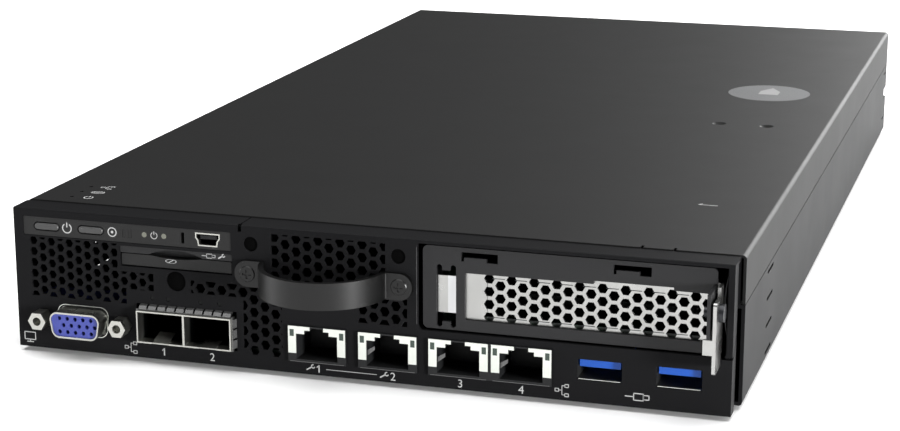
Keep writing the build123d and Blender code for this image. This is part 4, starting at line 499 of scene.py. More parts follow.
NODE_FINISH: dict[str, Wear] = {
    "chassis_tray": Wear.COAT, "front_panel": Wear.COAT, "top_cover": Wear.COVER,
    "rear_panel": Wear.COAT, "feet": Wear.SILICONE, "grip_pad": Wear.PAD,
    "operator_bezel": Wear.STRIP, "power_button": Wear.KEY, "id_button": Wear.KEY,
    "operator_board": Wear.MASK_AND_PAINTED_SHADE, "status_light_pipes": Wear.LIGHT, "service_shell": Wear.MOUTH_PAINTED_SHADE,
    "service_tongue": Wear.GUIDE, "tab_housing": Wear.ABS, "info_tab": Wear.STRIP,
    "hole_plugs": Wear.SILICONE, "vga_shell": Wear.NICKEL, "vga_insert": Wear.VIDEO,
    "vga_jackscrews": Wear.NICKEL, "module_cage": Wear.MOUTH_PAINTED_SHADE, "cage_gasket": Wear.SPRING_AND_PAINTED_LIGHT,
    "module_plugs": Wear.GUIDE, "cage_light_bars": Wear.DARK_LAMP, "ethernet_jack_1": Wear.GUIDE,
    "ethernet_jack_2": Wear.GUIDE, "ethernet_jack_pair": Wear.GUIDE, "jack_lamps": Wear.LAMP,
    # The serial-bus shells take the dull grey strip in place of bright plating: painted shade for
    # the dark inside of the sockets.
    "usb_shells": Wear.SPRING_AND_PAINTED_LIGHT, "usb_tongues": Wear.TONGUE, "handle": Wear.BAND,
    "handle_screws": Wear.BAND, "expansion_cage": Wear.BAY, "expansion_bracket": Wear.ZINC,
    "bracket_screw": Wear.SCREW_AND_PAINTED_SHADE, "bracket_clip": Wear.GUIDE, "riser_card": Wear.MASK_AND_PAINTED_SHADE,
    "riser_slot": Wear.GUIDE, "expansion_card": Wear.MASK_AND_PAINTED_SHADE, "data_drives": Wear.MASK_AND_PAINTED_SHADE,
    "system_board": Wear.MASK_AND_PAINTED_SHADE, "power_board": Wear.MASK_AND_PAINTED_SHADE, "board_standoffs": Wear.BRASS,
    "board_screws": Wear.NICKEL, "processor": Wear.NICKEL, "heatsink": Wear.ALUMINIUM_AND_PAINTED_HIGHLIGHT,
    "heatsink_screws": Wear.NICKEL, "memory_sockets": Wear.GUIDE, "memory_modules": Wear.MASK_AND_PAINTED_SHADE,
    "memory_latch_1": Wear.IVORY, "memory_latch_2": Wear.IVORY, "memory_latch_3": Wear.IVORY,
    "memory_latch_4": Wear.IVORY, "air_duct": Wear.ABS, "power_inlets": Wear.GUIDE,
    "fan_frames": Wear.ABS, "fan_1_rotor": Wear.ABS, "fan_2_rotor": Wear.ABS,
    "fan_3_rotor": Wear.ABS, "fan_bracket": Wear.ZINC,
}


class Shape:
    """A mesh in the making, in millimetres from the front's origin."""

    def __init__(self, place: Matrix | None = None) -> None:
        """Starts an empty mesh.

        Args:
            place: Turns the maker's own axes into the object's, where a piece is drawn flat.
        """
        self.mesh = bmesh.new()
        self.place = place or Matrix.Identity(4)

    def block(self, low: Point, high: Point) -> None:
        """A box between two corners.

        Args:
            low: Lowest corner.
            high: Highest corner.
        """
        size = Vector(high) - Vector(low)
        middle = (Vector(high) + Vector(low)) / 2
        matrix = Matrix.Translation(middle) @ Matrix.Diagonal((*size, 1.0))
        bmesh.ops.create_cube(self.mesh, size=1.0, matrix=matrix)

    def bar(self, start: Point, end: Point, width: float, depth: float) -> None:
        """A straight stroke in the drawing plane.

        Args:
            start: First end, in the plane.
            end: Other end, in the plane.
            width: Its width.
            depth: How far it stands proud of the plane.
        """
        a, b = Vector((start[0], start[1])), Vector((end[0], end[1]))
        run = b - a
        middle = (a + b) / 2
        matrix = (
            Matrix.Translation((middle.x, middle.y, depth / 2))
            @ Matrix.Rotation(math.atan2(run.y, run.x), 4, "Z")
            @ Matrix.Diagonal((run.length + width * 0.5, width, depth, 1.0))
        )
        bmesh.ops.create_cube(self.mesh, size=1.0, matrix=matrix)

    def ring(
        self,
        centre: Point,
        radius: float,
        width: float,
        depth: float,
        start: float = 0.0,
        sweep: float = 360.0,
        squash: float = 1.0,
    ) -> None:
        """A ring or a part of one in the drawing plane.

        Args:
            centre: Its middle, in the plane.
            radius: Radius of the stroke's middle line.
            width: Width of the stroke.
            depth: How far it stands proud of the plane.
            start: First angle in degrees, from the plane's first axis.
            sweep: Angle that it covers, in degrees.
            squash: Height of the ring as a share of its width.
        """
        inner, outer = radius - width / 2, radius + width / 2
        corners = [(inner, 0.0), (outer, 0.0), (outer, depth), (inner, depth)]
        turn = Matrix.Rotation(math.radians(start), 4, "Z")
        verts = [self.mesh.verts.new(turn @ Vector((u, 0.0, w))) for u, w in corners]
        face = self.mesh.faces.new(verts)
        whole = sweep >= 360.0
        steps = max(RING_STEPS, int(sweep / RING_TURN))
        spun = bmesh.ops.spin(
            self.mesh, geom=[face, *face.edges, *face.verts], cent=(0, 0, 0), axis=(0, 0, 1),
            angle=math.radians(sweep), steps=steps, use_merge=whole, use_duplicate=False,
        )
        touched = set(verts) | {g for g in spun["geom_last"] if isinstance(g, bmesh.types.BMVert)}
        reached = self.linked(touched)
        if whole:
            around = {face for vert in reached for face in vert.link_faces}
            inside = [face for face in around if self.lies_across(face)]
            bmesh.ops.delete(self.mesh, geom=inside, context="FACES_ONLY")
        reached = [v for v in reached if v.is_valid]
        bmesh.ops.scale(self.mesh, vec=(1.0, squash, 1.0), verts=reached)
        bmesh.ops.translate(self.mesh, vec=(centre[0], centre[1], 0.0), verts=reached)

    def lies_across(self, face: bmesh.types.BMFace) -> bool:
        """Tells whether a face is the spun profile itself, inside a whole ring.

        Args:
            face: A face of the ring, about the mesh's middle.

        Returns:
            True where every corner lies at the same angle.
        """
        return len({round(math.atan2(vert.co.y, vert.co.x), 4) for vert in face.verts}) == 1

    def linked(self, seeds: Iterable[bmesh.types.BMVert]) -> list[bmesh.types.BMVert]:
        """Every vertex that edges join to the given ones.

        Args:
            seeds: The vertices to start from.

        Returns:
            These and all that hang together with them.
        """
        found, queue = set(), [v for v in seeds if v.is_valid]
        while queue:
            vert = queue.pop()
            if vert in found:
                continue
            found.add(vert)
            queue.extend(e.other_vert(vert) for e in vert.link_edges)
        return list(found)

    def plate(self, outline: Sequence[Point], depth: float) -> None:
        """A flat plate with the given outline in the drawing plane.

        Args:
            outline: Corners in the plane, in order.
            depth: Its thickness.
        """
        face = self.mesh.faces.new([self.mesh.verts.new((u, v, 0.0)) for u, v in outline])
        grown = bmesh.ops.extrude_face_region(self.mesh, geom=[face], use_keep_orig=True)
        top = [g for g in grown["geom"] if isinstance(g, bmesh.types.BMVert)]
        bmesh.ops.translate(self.mesh, vec=(0.0, 0.0, depth), verts=top)

    def disc(self, centre: Point, radius: float, depth: float, sides: int) -> None:
        """A disc or a short rod that stands on the drawing plane.

        Args:
            centre: Its middle, in the plane.
            radius: Its radius.
            depth: Its height.
            sides: Sides of its outline.
        """
        matrix = Matrix.Translation((centre[0], centre[1], depth / 2))
        bmesh.ops.create_cone(
            self.mesh, cap_ends=True, cap_tris=False, segments=sides,
            radius1=radius, radius2=radius, depth=depth, matrix=matrix,
        )

    def letter(self, text: str, centre: Point, height: float, depth: float) -> None:
        """A numeral in the drawing plane.

        Args:
            text: The numeral.
            centre: Its middle, in the plane.
            height: Its height.
            depth: How far it stands proud of the plane.
        """
        curve = bpy.data.curves.new("numeral", "FONT")
        curve.body = text
        curve.size = height / NUMERAL_SHARE
        curve.align_x = "CENTER"
        curve.extrude = depth / 2
        holder = bpy.data.objects.new("numeral", curve)
        bpy.context.scene.collection.objects.link(holder)
        bpy.context.view_layer.update()
        evaluated = holder.evaluated_get(bpy.context.evaluated_depsgraph_get())
        drawn = bpy.data.meshes.new_from_object(evaluated)
        drawn.transform(Matrix.Translation((centre[0], centre[1] - height / 2, depth / 2)))
        self.mesh.from_mesh(drawn)
        bpy.data.objects.remove(holder)
        bpy.data.curves.remove(curve)
        bpy.data.meshes.remove(drawn)

    def finish(
        self, name: str, wear: Wear, body: str = "chassis", replaces: Sequence[str] = ()
    ) -> None:
        """Closes the mesh, moves it to its place and hands it over.

        Args:
            name: Name of the piece.
            wear: Its finish.
            body: Body that it rides on.
            replaces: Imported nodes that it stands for.
        """
        bmesh.ops.transform(self.mesh, matrix=self.place, verts=self.mesh.verts)
        bmesh.ops.recalc_face_normals(self.mesh, faces=self.mesh.faces)
        to_metres = Matrix.Translation(ORIGIN) @ Matrix.Scale(MM, 4)
        bmesh.ops.transform(self.mesh, matrix=to_metres, verts=self.mesh.verts)
        data = bpy.data.meshes.new(name)
        self.mesh.to_mesh(data)
        self.mesh.free()
        data.materials.append(wear.value.material())
        piece = bpy.data.objects.new(name, data)
        bpy.context.scene.collection.objects.link(piece)
        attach(piece, body)
        if replaces:
            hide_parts(*replaces)
        LOG.info("%s: %d faces", name, len(data.polygons))


def front_place(depth: float) -> Matrix:
    """Drawing plane on the front: first axis right, second up, third towards the viewer.

    Args:
        depth: The plane's distance behind the front face.

    Returns:
        The matrix from the drawing plane to the object.
    """
    return Matrix(((1, 0, 0, 0), (0, 0, -1, depth), (0, 1, 0, 0), (0, 0, 0, 1)))


def level_place(height: float) -> Matrix:
    """Drawing plane that lies level at a height, seen from above."""
    return Matrix.Translation((0, 0, height))


def side_place(place: float) -> Matrix:
    """Drawing plane seen from the right: first axis to the rear, second up, third to the right.

    Args:
        place: The plane's distance right of the middle.

    Returns:
        The matrix from the drawing plane to the object.
    """
    return Matrix(((0, 0, 1, place), (1, 0, 0, 0), (0, 1, 0, 0), (0, 0, 0, 1)))


@dataclass
class PrintedMarks:
    """Screen-printed marks: plain numerals and generic signs, no words."""

    ink: float = 0.03
    stroke: float = 0.3
    numeral: float = 2.3
    strip_depth: float = 0.2
    tab_depth: float = 0.5
    cover_height: float = 41.7
    module_numerals: tuple[tuple[str, float, float], ...] = (("1", -58.9, 2.3), ("2", -44.0, 2.2))
    jack_numerals: tuple[tuple[str, float, float], ...] = (
        ("1", -12.1, 1.9), ("2", 9.7, 1.8), ("3", 29.0, 1.8), ("4", 46.2, 1.8),
    )
    screen_place: Point = (-101.1, 2.9)
    network_places: tuple[Point, ...] = ((-69.0, 2.7), (57.6, 2.8))
    wrench_places: tuple[Point, ...] = ((-14.6, 1.9), (7.0, 1.8))
    wrench_length: float = 2.4
    pair_line: tuple[Point, Point] = ((-9.8, 1.9), (5.0, 1.9))
    pair_stroke: float = 0.16
    plug_place: Point = (78.0, 3.0)
    power_place: Point = (-87.8, 36.3)
    power_radius: float = 1.35
    # Radius and line of the finder's ring, then the radius and the sides of its dot.
    finder_place: Point = (-73.7, 36.3)
    finder_ring: tuple[float, float] = (1.25, 0.28)
    finder_dot: tuple[float, int] = (0.4, 12)
    status_place: Point = (-60.8, 36.3)
    status_sign: tuple[float, float] = (0.95, 0.2)
    service_places: tuple[Point, Point] = ((-44.4, 31.7), (-40.6, 31.7))
    service_plug: float = 0.62
    service_wrench: float = 2.0
    tab_place: Point = (-56.0, 29.1)
    tab_ring: tuple[float, float] = (1.6, 0.22)
    tab_squash: float = 0.34
    tab_stroke: float = 0.2
    # The cover's three signs stand in a column, one at each of these distances from the front.
    cover_column: float = -88.3
    cover_rows: tuple[float, float, float] = (27.6, 21.4, 15.2)
    cover_ring: float = 1.9
    cover_squash: float = 0.6
    cover_power: float = 1.3
    guide_corner: Point = (82.4, 59.0)
    guide_stroke: float = 0.35
    arrow: tuple[Point, ...] = (
        (73.0, 226.0), (80.0, 226.0), (80.0, 232.0), (76.5, 238.5), (73.0, 232.0),
    )
    # Where the power sign's ring and the wrench's jaw begin, and how far they go, in degrees.
    open_ring: tuple[float, float] = (122.0, 296.0)
    open_jaw: tuple[float, float] = (75.0, 270.0)

    def build(self) -> None:
        """Prints the front, the operator strip, the tab and the cover."""
        self.front()
        self.strip()
        self.tab()
        self.cover()

    def front(self) -> None:
        """Port numerals and port signs on the front sheet."""
        marks = Shape(front_place(0.0))
        for text, x, z in self.module_numerals + self.jack_numerals:
            if text == "1":
                self.one(marks, x, z)
            else:
                marks.letter(text, (x, z), self.numeral, self.ink)
        self.monitor(marks, *self.screen_place)
        for place in self.network_places:
            self.network(marks, *place)
        for place in self.wrench_places:
            self.wrench(marks, *place, self.wrench_length)
        marks.bar(*self.pair_line, self.pair_stroke, self.ink)
        self.plug(marks, *self.plug_place, 1.0)
        marks.finish("printed_marks_front", Wear.INK)

    def strip(self) -> None:
        """Signs between the buttons and between the status lights."""
        marks = Shape(front_place(self.strip_depth))
        self.power(marks, *self.power_place, self.power_radius, self.stroke)
        marks.ring(self.finder_place, *self.finder_ring, self.ink)
        radius, sides = self.finder_dot
        marks.disc(self.finder_place, radius, self.ink, sides)
        marks.finish("printed_marks_strip", Wear.INK)
        faint = Shape(front_place(self.strip_depth))
        plug, wrench = self.service_places
        self.power(faint, *self.status_place, *self.status_sign)
        self.plug(faint, *plug, self.service_plug)
        self.wrench(faint, *wrench, self.service_wrench)
        faint.finish("printed_marks_small", Wear.INK)

    def tab(self) -> None:
        """A small sign on the pull-out tab."""
        marks = Shape(front_place(self.tab_depth))
        x, z = self.tab_place
        marks.ring(self.tab_place, *self.tab_ring, self.ink, squash=self.tab_squash)
        marks.bar((x - 0.7, z - 0.4), (x + 0.7, z + 0.4), self.tab_stroke, self.ink)
        marks.finish("printed_mark_tab", Wear.INK, "info_tab")

    def cover(self) -> None:
        """Signs beside the indicator holes and a short guide line."""
        marks = Shape(level_place(self.cover_height))
        x = self.cover_column
        far, middle, near = self.cover_rows
        self.network(marks, x, far)
        marks.ring((x, middle), self.cover_ring, self.stroke, self.ink, squash=self.cover_squash)
        marks.bar((x - 1.7, middle - 1.0), (x + 1.7, middle + 1.0), self.stroke, self.ink)
        self.power(marks, x, near, self.cover_power, self.stroke)
        x, y = self.guide_corner
        marks.bar(self.guide_corner, (x + 5.4, y), self.guide_stroke, self.ink)
        marks.bar(self.guide_corner, (x + 0.9, y + 1.2), self.guide_stroke, self.ink)
        marks.finish("printed_marks_cover", Wear.INK, "cover")
        arrow = Shape(level_place(self.cover_height))
        arrow.plate(self.arrow, self.ink)
        arrow.finish("printed_arrow_pad", Wear.DIM_INK, "cover")

    def one(self, marks: Shape, x: float, z: float) -> None:
        """The numeral one: an upright stroke with a flag.

        Args:
            marks: The print that it joins.
            x: Its middle, to the right.
            z: Its middle, upwards.
        """
        half = self.numeral / 2
        foot, top = (x + 0.15, z - half + 0.15), (x + 0.15, z + half - 0.15)
        marks.bar(foot, top, 0.36, self.ink)
        marks.bar((x - 0.45, z + half - 0.75), (x + 0.1, z + half - 0.2), 0.28, self.ink)

    def power(self, marks: Shape, x: float, z: float, radius: float, stroke: float) -> None:
        """A broken ring with an upright stroke.

        Args:
            marks: The print that it joins.
            x: Its middle, to the right.
            z: Its middle, upwards.
            radius: Radius of the ring.
            stroke: Width of its line.
        """
        marks.ring((x, z), radius, stroke, self.ink, *self.open_ring)
        marks.bar((x, z + radius * 0.25), (x, z + radius * 1.2), stroke, self.ink)

    def monitor(self, marks: Shape, x: float, z: float) -> None:
        """A screen on its foot.

        Args:
            marks: The print that it joins.
            x: Its middle, to the right.
            z: Its middle, upwards.
        """
        line = 0.26
        self.frame(marks, x, z + 0.3, 1.7, 1.1, line)
        marks.bar((x, z - 0.8), (x, z - 1.4), line, self.ink)
        marks.bar((x - 1.0, z - 1.5), (x + 1.0, z - 1.5), line, self.ink)

    def network(self, marks: Shape, x: float, z: float) -> None:
        """Three boxes joined by lines.

        Args:
            marks: The print that it joins.
            x: Its middle, to the right.
            z: Its middle, upwards.
        """
        line, stem, rise = 0.18, x - 0.1, 1.3
        for dx, dz in ((-1.5, 0.0), (1.2, rise), (1.2, -rise)):
            self.frame(marks, x + dx, z + dz, 0.5, 0.42, 0.2)
        marks.bar((x - 0.9, z), (stem, z), line, self.ink)
        marks.bar((stem, z - rise), (stem, z + rise), line, self.ink)
        for dz in (-rise, rise):
            marks.bar((stem, z + dz), (x + 0.6, z + dz), line, self.ink)

    def plug(self, marks: Shape, x: float, z: float, size: float) -> None:
        """A flat plug on a short lead.

        Args:
            marks: The print that it joins.
            x: Its middle, to the right.
            z: Its middle, upwards.
            size: Its scale.
        """
        line = 0.26 * size
        self.frame(marks, x + 0.4 * size, z, 1.3 * size, 0.95 * size, line)
        self.frame(marks, x + 2.5 * size, z, 0.75 * size, 0.6 * size, line)
        marks.bar((x - 3.2 * size, z), (x - 0.9 * size, z), line, self.ink)

    def frame(
        self, marks: Shape, x: float, z: float, half_x: float, half_z: float, stroke: float
    ) -> None:
        """A rectangle drawn by four strokes.

        Args:
            marks: The print that it joins.
            x: Its middle, to the right.
            z: Its middle, upwards.
            half_x: Half its width.
            half_z: Half its height.
            stroke: Width of its line.
        """
        for side in (-1, 1):
            level, place = z + side * half_z, x + side * half_x
            marks.bar((x - half_x, level), (x + half_x, level), stroke, self.ink)
            marks.bar((place, z - half_z), (place, z + half_z), stroke, self.ink)

    def wrench(self, marks: Shape, x: float, z: float, length: float) -> None:
        """An open-ended wrench that leans to the right.

        Args:
            marks: The print that it joins.
            x: Its middle, to the right.
            z: Its middle, upwards.
            length: Its length.
        """
        reach = length / 2
        grip, neck = (x - reach * 0.8, z - reach * 0.45), (x + reach * 0.35, z + reach * 0.25)
        marks.bar(grip, neck, 0.36, self.ink)
        jaw = (x + reach * 0.75, z + reach * 0.45)
        marks.ring(jaw, reach * 0.4, self.stroke, self.ink, *self.open_jaw)


@dataclass
class NetworkJacks:
    """Bright shield faces, lamp windows, springs and sills of the four network jacks."""

    centres: tuple[float, ...] = (-12.3, 8.3, 28.55, 46.25)
    half: float = 8.5
    face: float = -0.6
    sheet: float = 0.15
    foot: float = 6.1
    top: float = 13.95
    steps: tuple[tuple[float, float], ...] = ((6.05, 11.8), (3.6, 12.9), (2.0, 13.95))
    play: float = 0.1
    lamp: tuple[float, float, float] = (7.3, 12.0, 0.62)
    lamp_half_height: float = 1.0
    lamp_proud: float = 0.03
    spring: tuple[Point, ...] = ((-6.2, 7.0), (-3.9, 8.9), (-3.9, 10.0), (-6.2, 8.6))
    spring_set: float = 0.4
    spring_sheet: float = 0.2
    sill_height: float = 3.75
    sill_inset: float = 0.6
    sill_line: tuple[float, float] = (0.14, 0.06)

    def build(self) -> None:
        """Makes the parts of every jack."""
        self.shields()
        self.lamps()
        self.springs()
        self.sills()

    def shields(self) -> None:
        """The shield's two corners on each jack, stepped like the opening."""
        shape = Shape(front_place(self.face))
        (low_x, low_z), (mid_x, mid_z), (top_x, _) = self.steps
        edge = self.half - self.play
        corners = (
            (edge, self.foot), (edge, self.top), (top_x, self.top), (top_x, mid_z),
            (mid_x, mid_z), (mid_x, low_z), (low_x, low_z), (low_x, self.foot),
        )
        for centre in self.centres:
            for side in (-1, 1):
                shape.plate([(centre + side * x, z) for x, z in corners], self.sheet)
        shape.finish("jack_shield_faces", Wear.TIN_AND_PAINTED_HIGHLIGHT)

    def lamps(self) -> None:
        """A lamp window in every shield corner."""
        place, height, half = self.lamp
        front = self.face - self.sheet - self.lamp_proud
        low, high = height - self.lamp_half_height, height + self.lamp_half_height
        shape = Shape()
        for centre in self.centres:
            for side in (-1, 1):
                x = centre + side * place
                shape.block((x - half, front, low), (x + half, 0.0, high))
        shape.finish("jack_lamp_windows", Wear.LAMP, replaces=("jack_lamps",))

    def springs(self) -> None:
        """Earthing springs that lean in from the left wall."""
        shape = Shape(front_place(self.spring_set))
        for centre in self.centres[1:]:
            shape.plate([(centre + x, z) for x, z in self.spring], self.spring_sheet)
        shape.finish("jack_springs", Wear.SPRING_AND_PAINTED_LIGHT)

    def sills(self) -> None:
        """The shield's lower edge, a thin line under each opening."""
        shape = Shape(front_place(self.face))
        reach, level = self.half - self.sill_inset, self.sill_height
        for centre in self.centres:
            shape.bar((centre - reach, level), (centre + reach, level), *self.sill_line)
        shape.finish("jack_sills", Wear.SPRING_AND_PAINTED_LIGHT)


@dataclass
class OpticalCage:
    """Latch flaps that rise from the floor of the two optical ports."""

    ports: tuple[float, float] = (-58.75, -44.45)
    flap_width: float = 4.9
    flap_ends: tuple[float, float] = (-2.4, 2.6)
    flap_foot: float = 5.25
    sheet: float = 0.3
    rises: tuple[float, float] = (1.9, 0.9)

    def build(self) -> None:
        """Bends one flap up in each port."""
        (front, rear), foot = self.flap_ends, self.flap_foot
        for number, (centre, rise) in enumerate(zip(self.ports, self.rises), 1):
            shape = Shape(side_place(centre - self.flap_width / 2))
            lower = ((front, foot), (rear, foot + rise))
            upper = tuple((place, height + self.sheet) for place, height in reversed(lower))
            shape.plate(lower + upper, self.flap_width)
            shape.finish(f"cage_latch_flap_{number}", Wear.NICKEL)


@dataclass
class SmallContacts:
    """Blades and painted sill highlights of the serial-bus sockets, and pins of the power inlets.
    """

    usb_places: tuple[float, float] = (67.6, 89.1)
    blades: int = 4
    blade_pitch: float = 2.4
    blade_half: float = 0.5
    blade_ends: tuple[float, float] = (2.4, 12.0)
    blade_levels: tuple[float, float] = (9.5, 9.66)
    sill_half: float = 5.7
    sill_height: float = 6.45
    sill_set: float = 0.4
    sill_line: tuple[float, float] = (0.16, 0.1)
    inlet_places: tuple[float, float] = (52.5, 72.5)
    inlet_height: float = 12.6
    inlet_depth: float = 375.0
    socket_pitch: float = 5.2
    pin_radius: float = 0.8
    pin_length: float = 7.0
    pin_sides: int = 16

    def build(self) -> None:
        """Makes blades, sills and pins."""
        self.contacts()
        self.sills()
        self.pins()

    def contacts(self) -> None:
        """Four gilt blades under each tongue."""
        shape = Shape()
        (front, rear), (low, high), half = self.blade_ends, self.blade_levels, self.blade_half
        for place in self.usb_places:
            for index in range(self.blades):
                x = place + (index - (self.blades - 1) / 2) * self.blade_pitch
                shape.block((x - half, front, low), (x + half, rear, high))
        shape.finish("usb_contacts", Wear.GOLD)

    def sills(self) -> None:
        """A bright line on each shell's lower edge: a painted highlight where the light catches
        it.
        """
        shape = Shape(front_place(self.sill_set))
        half, level = self.sill_half, self.sill_height
        for place in self.usb_places:
            shape.bar((place - half, level), (place + half, level), *self.sill_line)
        shape.finish("usb_sill_highlights", Wear.TIN_AND_PAINTED_HIGHLIGHT)

    def pins(self) -> None:
        """Four pins in each power inlet."""
        shape = Shape(front_place(self.inlet_depth))
        reach = self.socket_pitch / 2
        for place in self.inlet_places:
            for x in (place - reach, place + reach):
                for z in (self.inlet_height - reach, self.inlet_height + reach):
                    shape.disc((x, z), self.pin_radius, self.pin_length, self.pin_sides)
        shape.finish("inlet_pins", Wear.GOLD)


@dataclass
class BracketBorder:
    """Shallow stamped border line of the expansion bracket, broken by its holes, drawn in dark
    oxide as painted shade in its groove.
    """

    face: float = 1.8
    first: float = 36.08
    pitch: float = 6.236
    count: int = 10
    clear: float = 1.45
    levels: tuple[float, float] = (31.75, 20.85)
    line: tuple[float, float] = (0.22, 0.02)
    end_line: tuple[float, float] = (0.12, 0.02)
    end_foot: float = 22.1
    end_pitch: float = 3.6
    end_run: float = 1.0
    end_rows: int = 3

    def build(self) -> None:
        """Stamps the line above, below and at the left end."""
        shape = Shape(front_place(self.face))
        for level in self.levels:
            for index in range(self.count - 1):
                start = self.first + index * self.pitch
                end = start + self.pitch
                shape.bar((start + self.clear, level), (end - self.clear, level), *self.line)
        for row in range(self.end_rows):
            low = self.end_foot + row * self.end_pitch
            shape.bar((self.first, low), (self.first, low + self.end_run), *self.end_line)
        shape.finish("bracket_border_painted_shade", Wear.SCREW_AND_PAINTED_SHADE)


@dataclass
class BrightEdges:
    """Painted highlights on the edges of the video port, bay, handle and bracket tongue, and the
    strip's smoked windows.
    """

    video_centre: tuple[float, float] = (-83.8, 9.2)
    video_half: tuple[float, float] = (8.3, 4.5)
    video_corner: float = 2.4
    video_slope: float = 0.8
    video_line: tuple[float, float] = (0.2, 0.12)
    arc_steps: int = 5
    bay_edge: tuple[float, float, float] = (16.65, 17.5, 39.4)
    bay_line: tuple[float, float] = (0.08, 0.02)
    windows: tuple[float, float] = (-69.95, -68.3)
    window_half: tuple[float, float] = (0.5, 1.5)
    window_height: float = 36.35
    window_ends: tuple[float, float] = (0.3, 1.0)
    fold: float = 2.9
    tongue: float = 5.25
    tongue_ends: tuple[float, float] = (1.6, 1.8)
    tongue_levels: tuple[float, float] = (21.2, 31.6)
    lug: float = 7.4
    root_half: float = 0.12
    root_ends: tuple[float, float] = (-1.62, -1.48)
    root_levels: tuple[float, float] = (24.6, 31.4)

    def build(self) -> None:
        """Makes every kind of edge."""
        self.video()
        self.bay()
        self.handle_root()
        self.strip_windows()
        self.tongue_painted_highlight()

    def video(self) -> None:
        """A thin raised bright line round the video port's opening: a painted highlight along its
        edge.
        """
        centre_x, centre_z = self.video_centre
        half_x, half_z = self.video_half
        outline = []
        corner = self.video_corner
        for side_x, side_z, first in ((1, 1, 0), (-1, 1, 90), (-1, -1, 180), (1, -1, 270)):
            slope = self.video_slope / 2 if side_z > 0 else self.video_slope
            x = centre_x + side_x * (half_x - slope - corner)
            z = centre_z + side_z * (half_z - corner)
            for step in range(self.arc_steps + 1):
                angle = math.radians(first + step * 90 / self.arc_steps)
                outline.append((x + corner * math.cos(angle), z + corner * math.sin(angle)))
        shape = Shape(front_place(0.0))
        for start, end in zip(outline, outline[1:] + outline[:1]):
            shape.bar(start, end, *self.video_line)
        shape.finish("video_port_rim_painted_highlight", Wear.TIN_AND_PAINTED_HIGHLIGHT)

    def bay(self) -> None:
        """A thin grey line at the bay's left side: a painted highlight on the sheet's cut edge."""
        x, low, high = self.bay_edge
        shape = Shape(front_place(0.0))
        shape.bar((x, low), (x, high), *self.bay_line)
        shape.finish("bay_edge_painted_highlight", Wear.SPRING_AND_PAINTED_LIGHT)

    def handle_root(self) -> None:
        """A thin grey bar at the inner edge of the handle's right lug, where the band bends away:
        a painted highlight on the bend.
        """
        _, high = box_mm("handle")
        x, half = high.x - self.lug, self.root_half
        (front, rear), (foot, top) = self.root_ends, self.root_levels
        shape = Shape()
        shape.block((x - half, front, foot), (x + half, rear, top))
        shape.finish("handle_root_painted_highlight", Wear.SPRING_AND_PAINTED_LIGHT)

    def strip_windows(self) -> None:
        """Smoked windows in the operator strip."""
        half_x, half_z = self.window_half
        front, rear = self.window_ends
        foot, top = self.window_height - half_z, self.window_height + half_z
        shape = Shape()
        for x in self.windows:
            shape.block((x - half_x, front, foot), (x + half_x, rear, top))
        shape.finish("strip_windows", Wear.STRIP)

    def tongue_painted_highlight(self) -> None:
        """Right half of the bracket's tongue, past its fold: a thin block in a paler metal, a
        painted highlight where the fold catches the light.
        """
        low, _ = box_mm("expansion_bracket")
        (front, rear), (foot, top) = self.tongue_ends, self.tongue_levels
        shape = Shape()
        shape.block((low.x + self.fold, front, foot), (low.x + self.tongue, rear, top))
        shape.finish("bracket_tongue_painted_highlight", Wear.ALUMINIUM_AND_PAINTED_HIGHLIGHT)


@dataclass(frozen=True)
class SoftBox:
    """A square soft light: its place, its aim and its edge in metres, and its power in watts."""

    name: str
    stand: Point
    aim: Point
    size: float
    power: float

    def build(self) -> None:
        """Hangs the light."""
        data = bpy.data.lights.new(self.name, "AREA")
        data.shape = "SQUARE"
        data.size = self.size
        data.energy = self.power
        lamp = bpy.data.objects.new(self.name, data)
        lamp.location = self.stand
        sight = Vector(self.aim) - Vector(self.stand)
        lamp.rotation_euler = sight.to_track_quat("-Z", "Y").to_euler()
        bpy.context.scene.collection.objects.link(lamp)


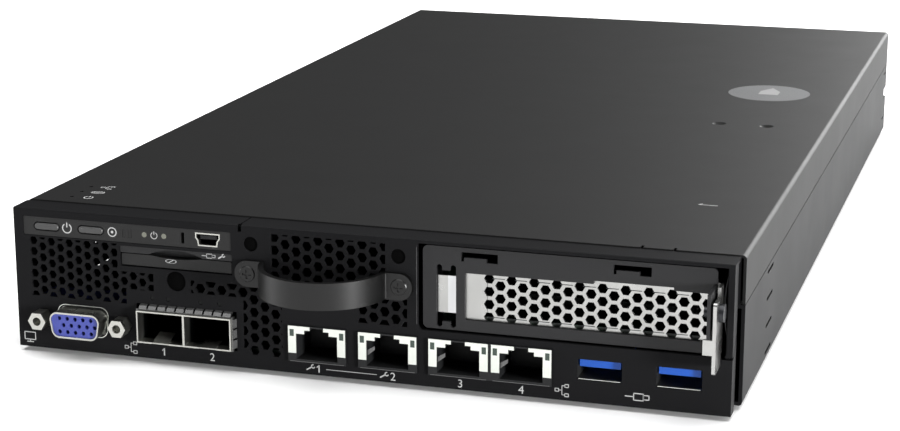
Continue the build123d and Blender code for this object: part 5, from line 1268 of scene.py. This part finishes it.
@dataclass
class Studio:
    """Pale floor, soft lights and the camera at the photograph's angle.

    Places are in metres and angles in degrees; the lens and the sensor are in millimetres.
    """

    lens: float = 83.85
    sensor: float = 36.0
    clip: tuple[float, float] = (0.01, 30.0)
    azimuth: float = 17.111
    elevation: float = 14.529
    stand: tuple[float, float, float] = (0.18547, -0.69695, 0.19067)
    floor_half: float = 6.0
    card: Finish = Finish("floor_card", "#fafafa", 0.9)
    surround: str = "#f2f4f6"
    surround_strength: float = 0.1
    boxes: tuple[SoftBox, ...] = (
        SoftBox("key_right", (1.5, -0.85, 0.12), (0.0, -0.15, 0.03), 0.3, 58.0),
        SoftBox("fill_left", (-1.55, -0.5, 0.12), (0.0, -0.2, 0.03), 0.25, 14.0),
        SoftBox("overhead", (0.0, 0.0, 2.4), (0.0, 0.0, 0.0), 3.0, 118.0),
        SoftBox("rim_rear", (0.75, 2.0, 0.7), (0.05, 0.1, 0.04), 1.6, 86.0),
    )

    def build(self) -> None:
        """Makes the camera, the floor, the lights and the surroundings."""
        self.camera()
        self.floor()
        for box in self.boxes:
            box.build()
        self.surroundings()
        bpy.context.scene.view_settings.view_transform = "Standard"

    def camera(self) -> None:
        """The photograph's camera."""
        data = bpy.data.cameras.new("camera")
        data.lens = self.lens
        data.sensor_width = self.sensor
        data.clip_start, data.clip_end = self.clip
        holder = bpy.data.objects.new("camera", data)
        holder.location = self.stand
        tilt = math.radians(90 - self.elevation)
        holder.rotation_euler = (tilt, 0.0, math.radians(self.azimuth))
        bpy.context.scene.collection.objects.link(holder)
        bpy.context.scene.camera = holder

    def floor(self) -> None:
        """A plain pale floor."""
        mesh = bmesh.new()
        bmesh.ops.create_grid(mesh, x_segments=1, y_segments=1, size=self.floor_half)
        data = bpy.data.meshes.new("floor")
        mesh.to_mesh(data)
        mesh.free()
        data.materials.append(self.card.material())
        floor = bpy.data.objects.new("floor", data)
        bpy.context.scene.collection.objects.link(floor)

    def surroundings(self) -> None:
        """An even pale surround."""
        world = bpy.data.worlds.new("surround")
        world.use_nodes = True
        back = next(node for node in world.node_tree.nodes if node.type == "BACKGROUND")
        back.inputs["Color"].default_value = linear(self.surround)
        back.inputs["Strength"].default_value = self.surround_strength
        bpy.context.scene.world = world


def dress_nodes() -> None:
    """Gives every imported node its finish."""
    for node, wear in NODE_FINISH.items():
        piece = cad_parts[node]
        if not piece.material_slots:
            piece.data.materials.append(wear.value.material())
        for slot in piece.material_slots:
            slot.material = wear.value.material()
    LOG.info("%d packed nodes dressed", len(NODE_FINISH))


def main() -> None:
    """Builds the scene, piece by piece."""
    Studio().build()
    dress_nodes()
    for details in (
        PrintedMarks(), NetworkJacks(), OpticalCage(),
        SmallContacts(), BracketBorder(), BrightEdges(),
    ):
        details.build()


if __name__ == "__main__":
    logging.basicConfig(level=logging.INFO, format="%(message)s")
    main()
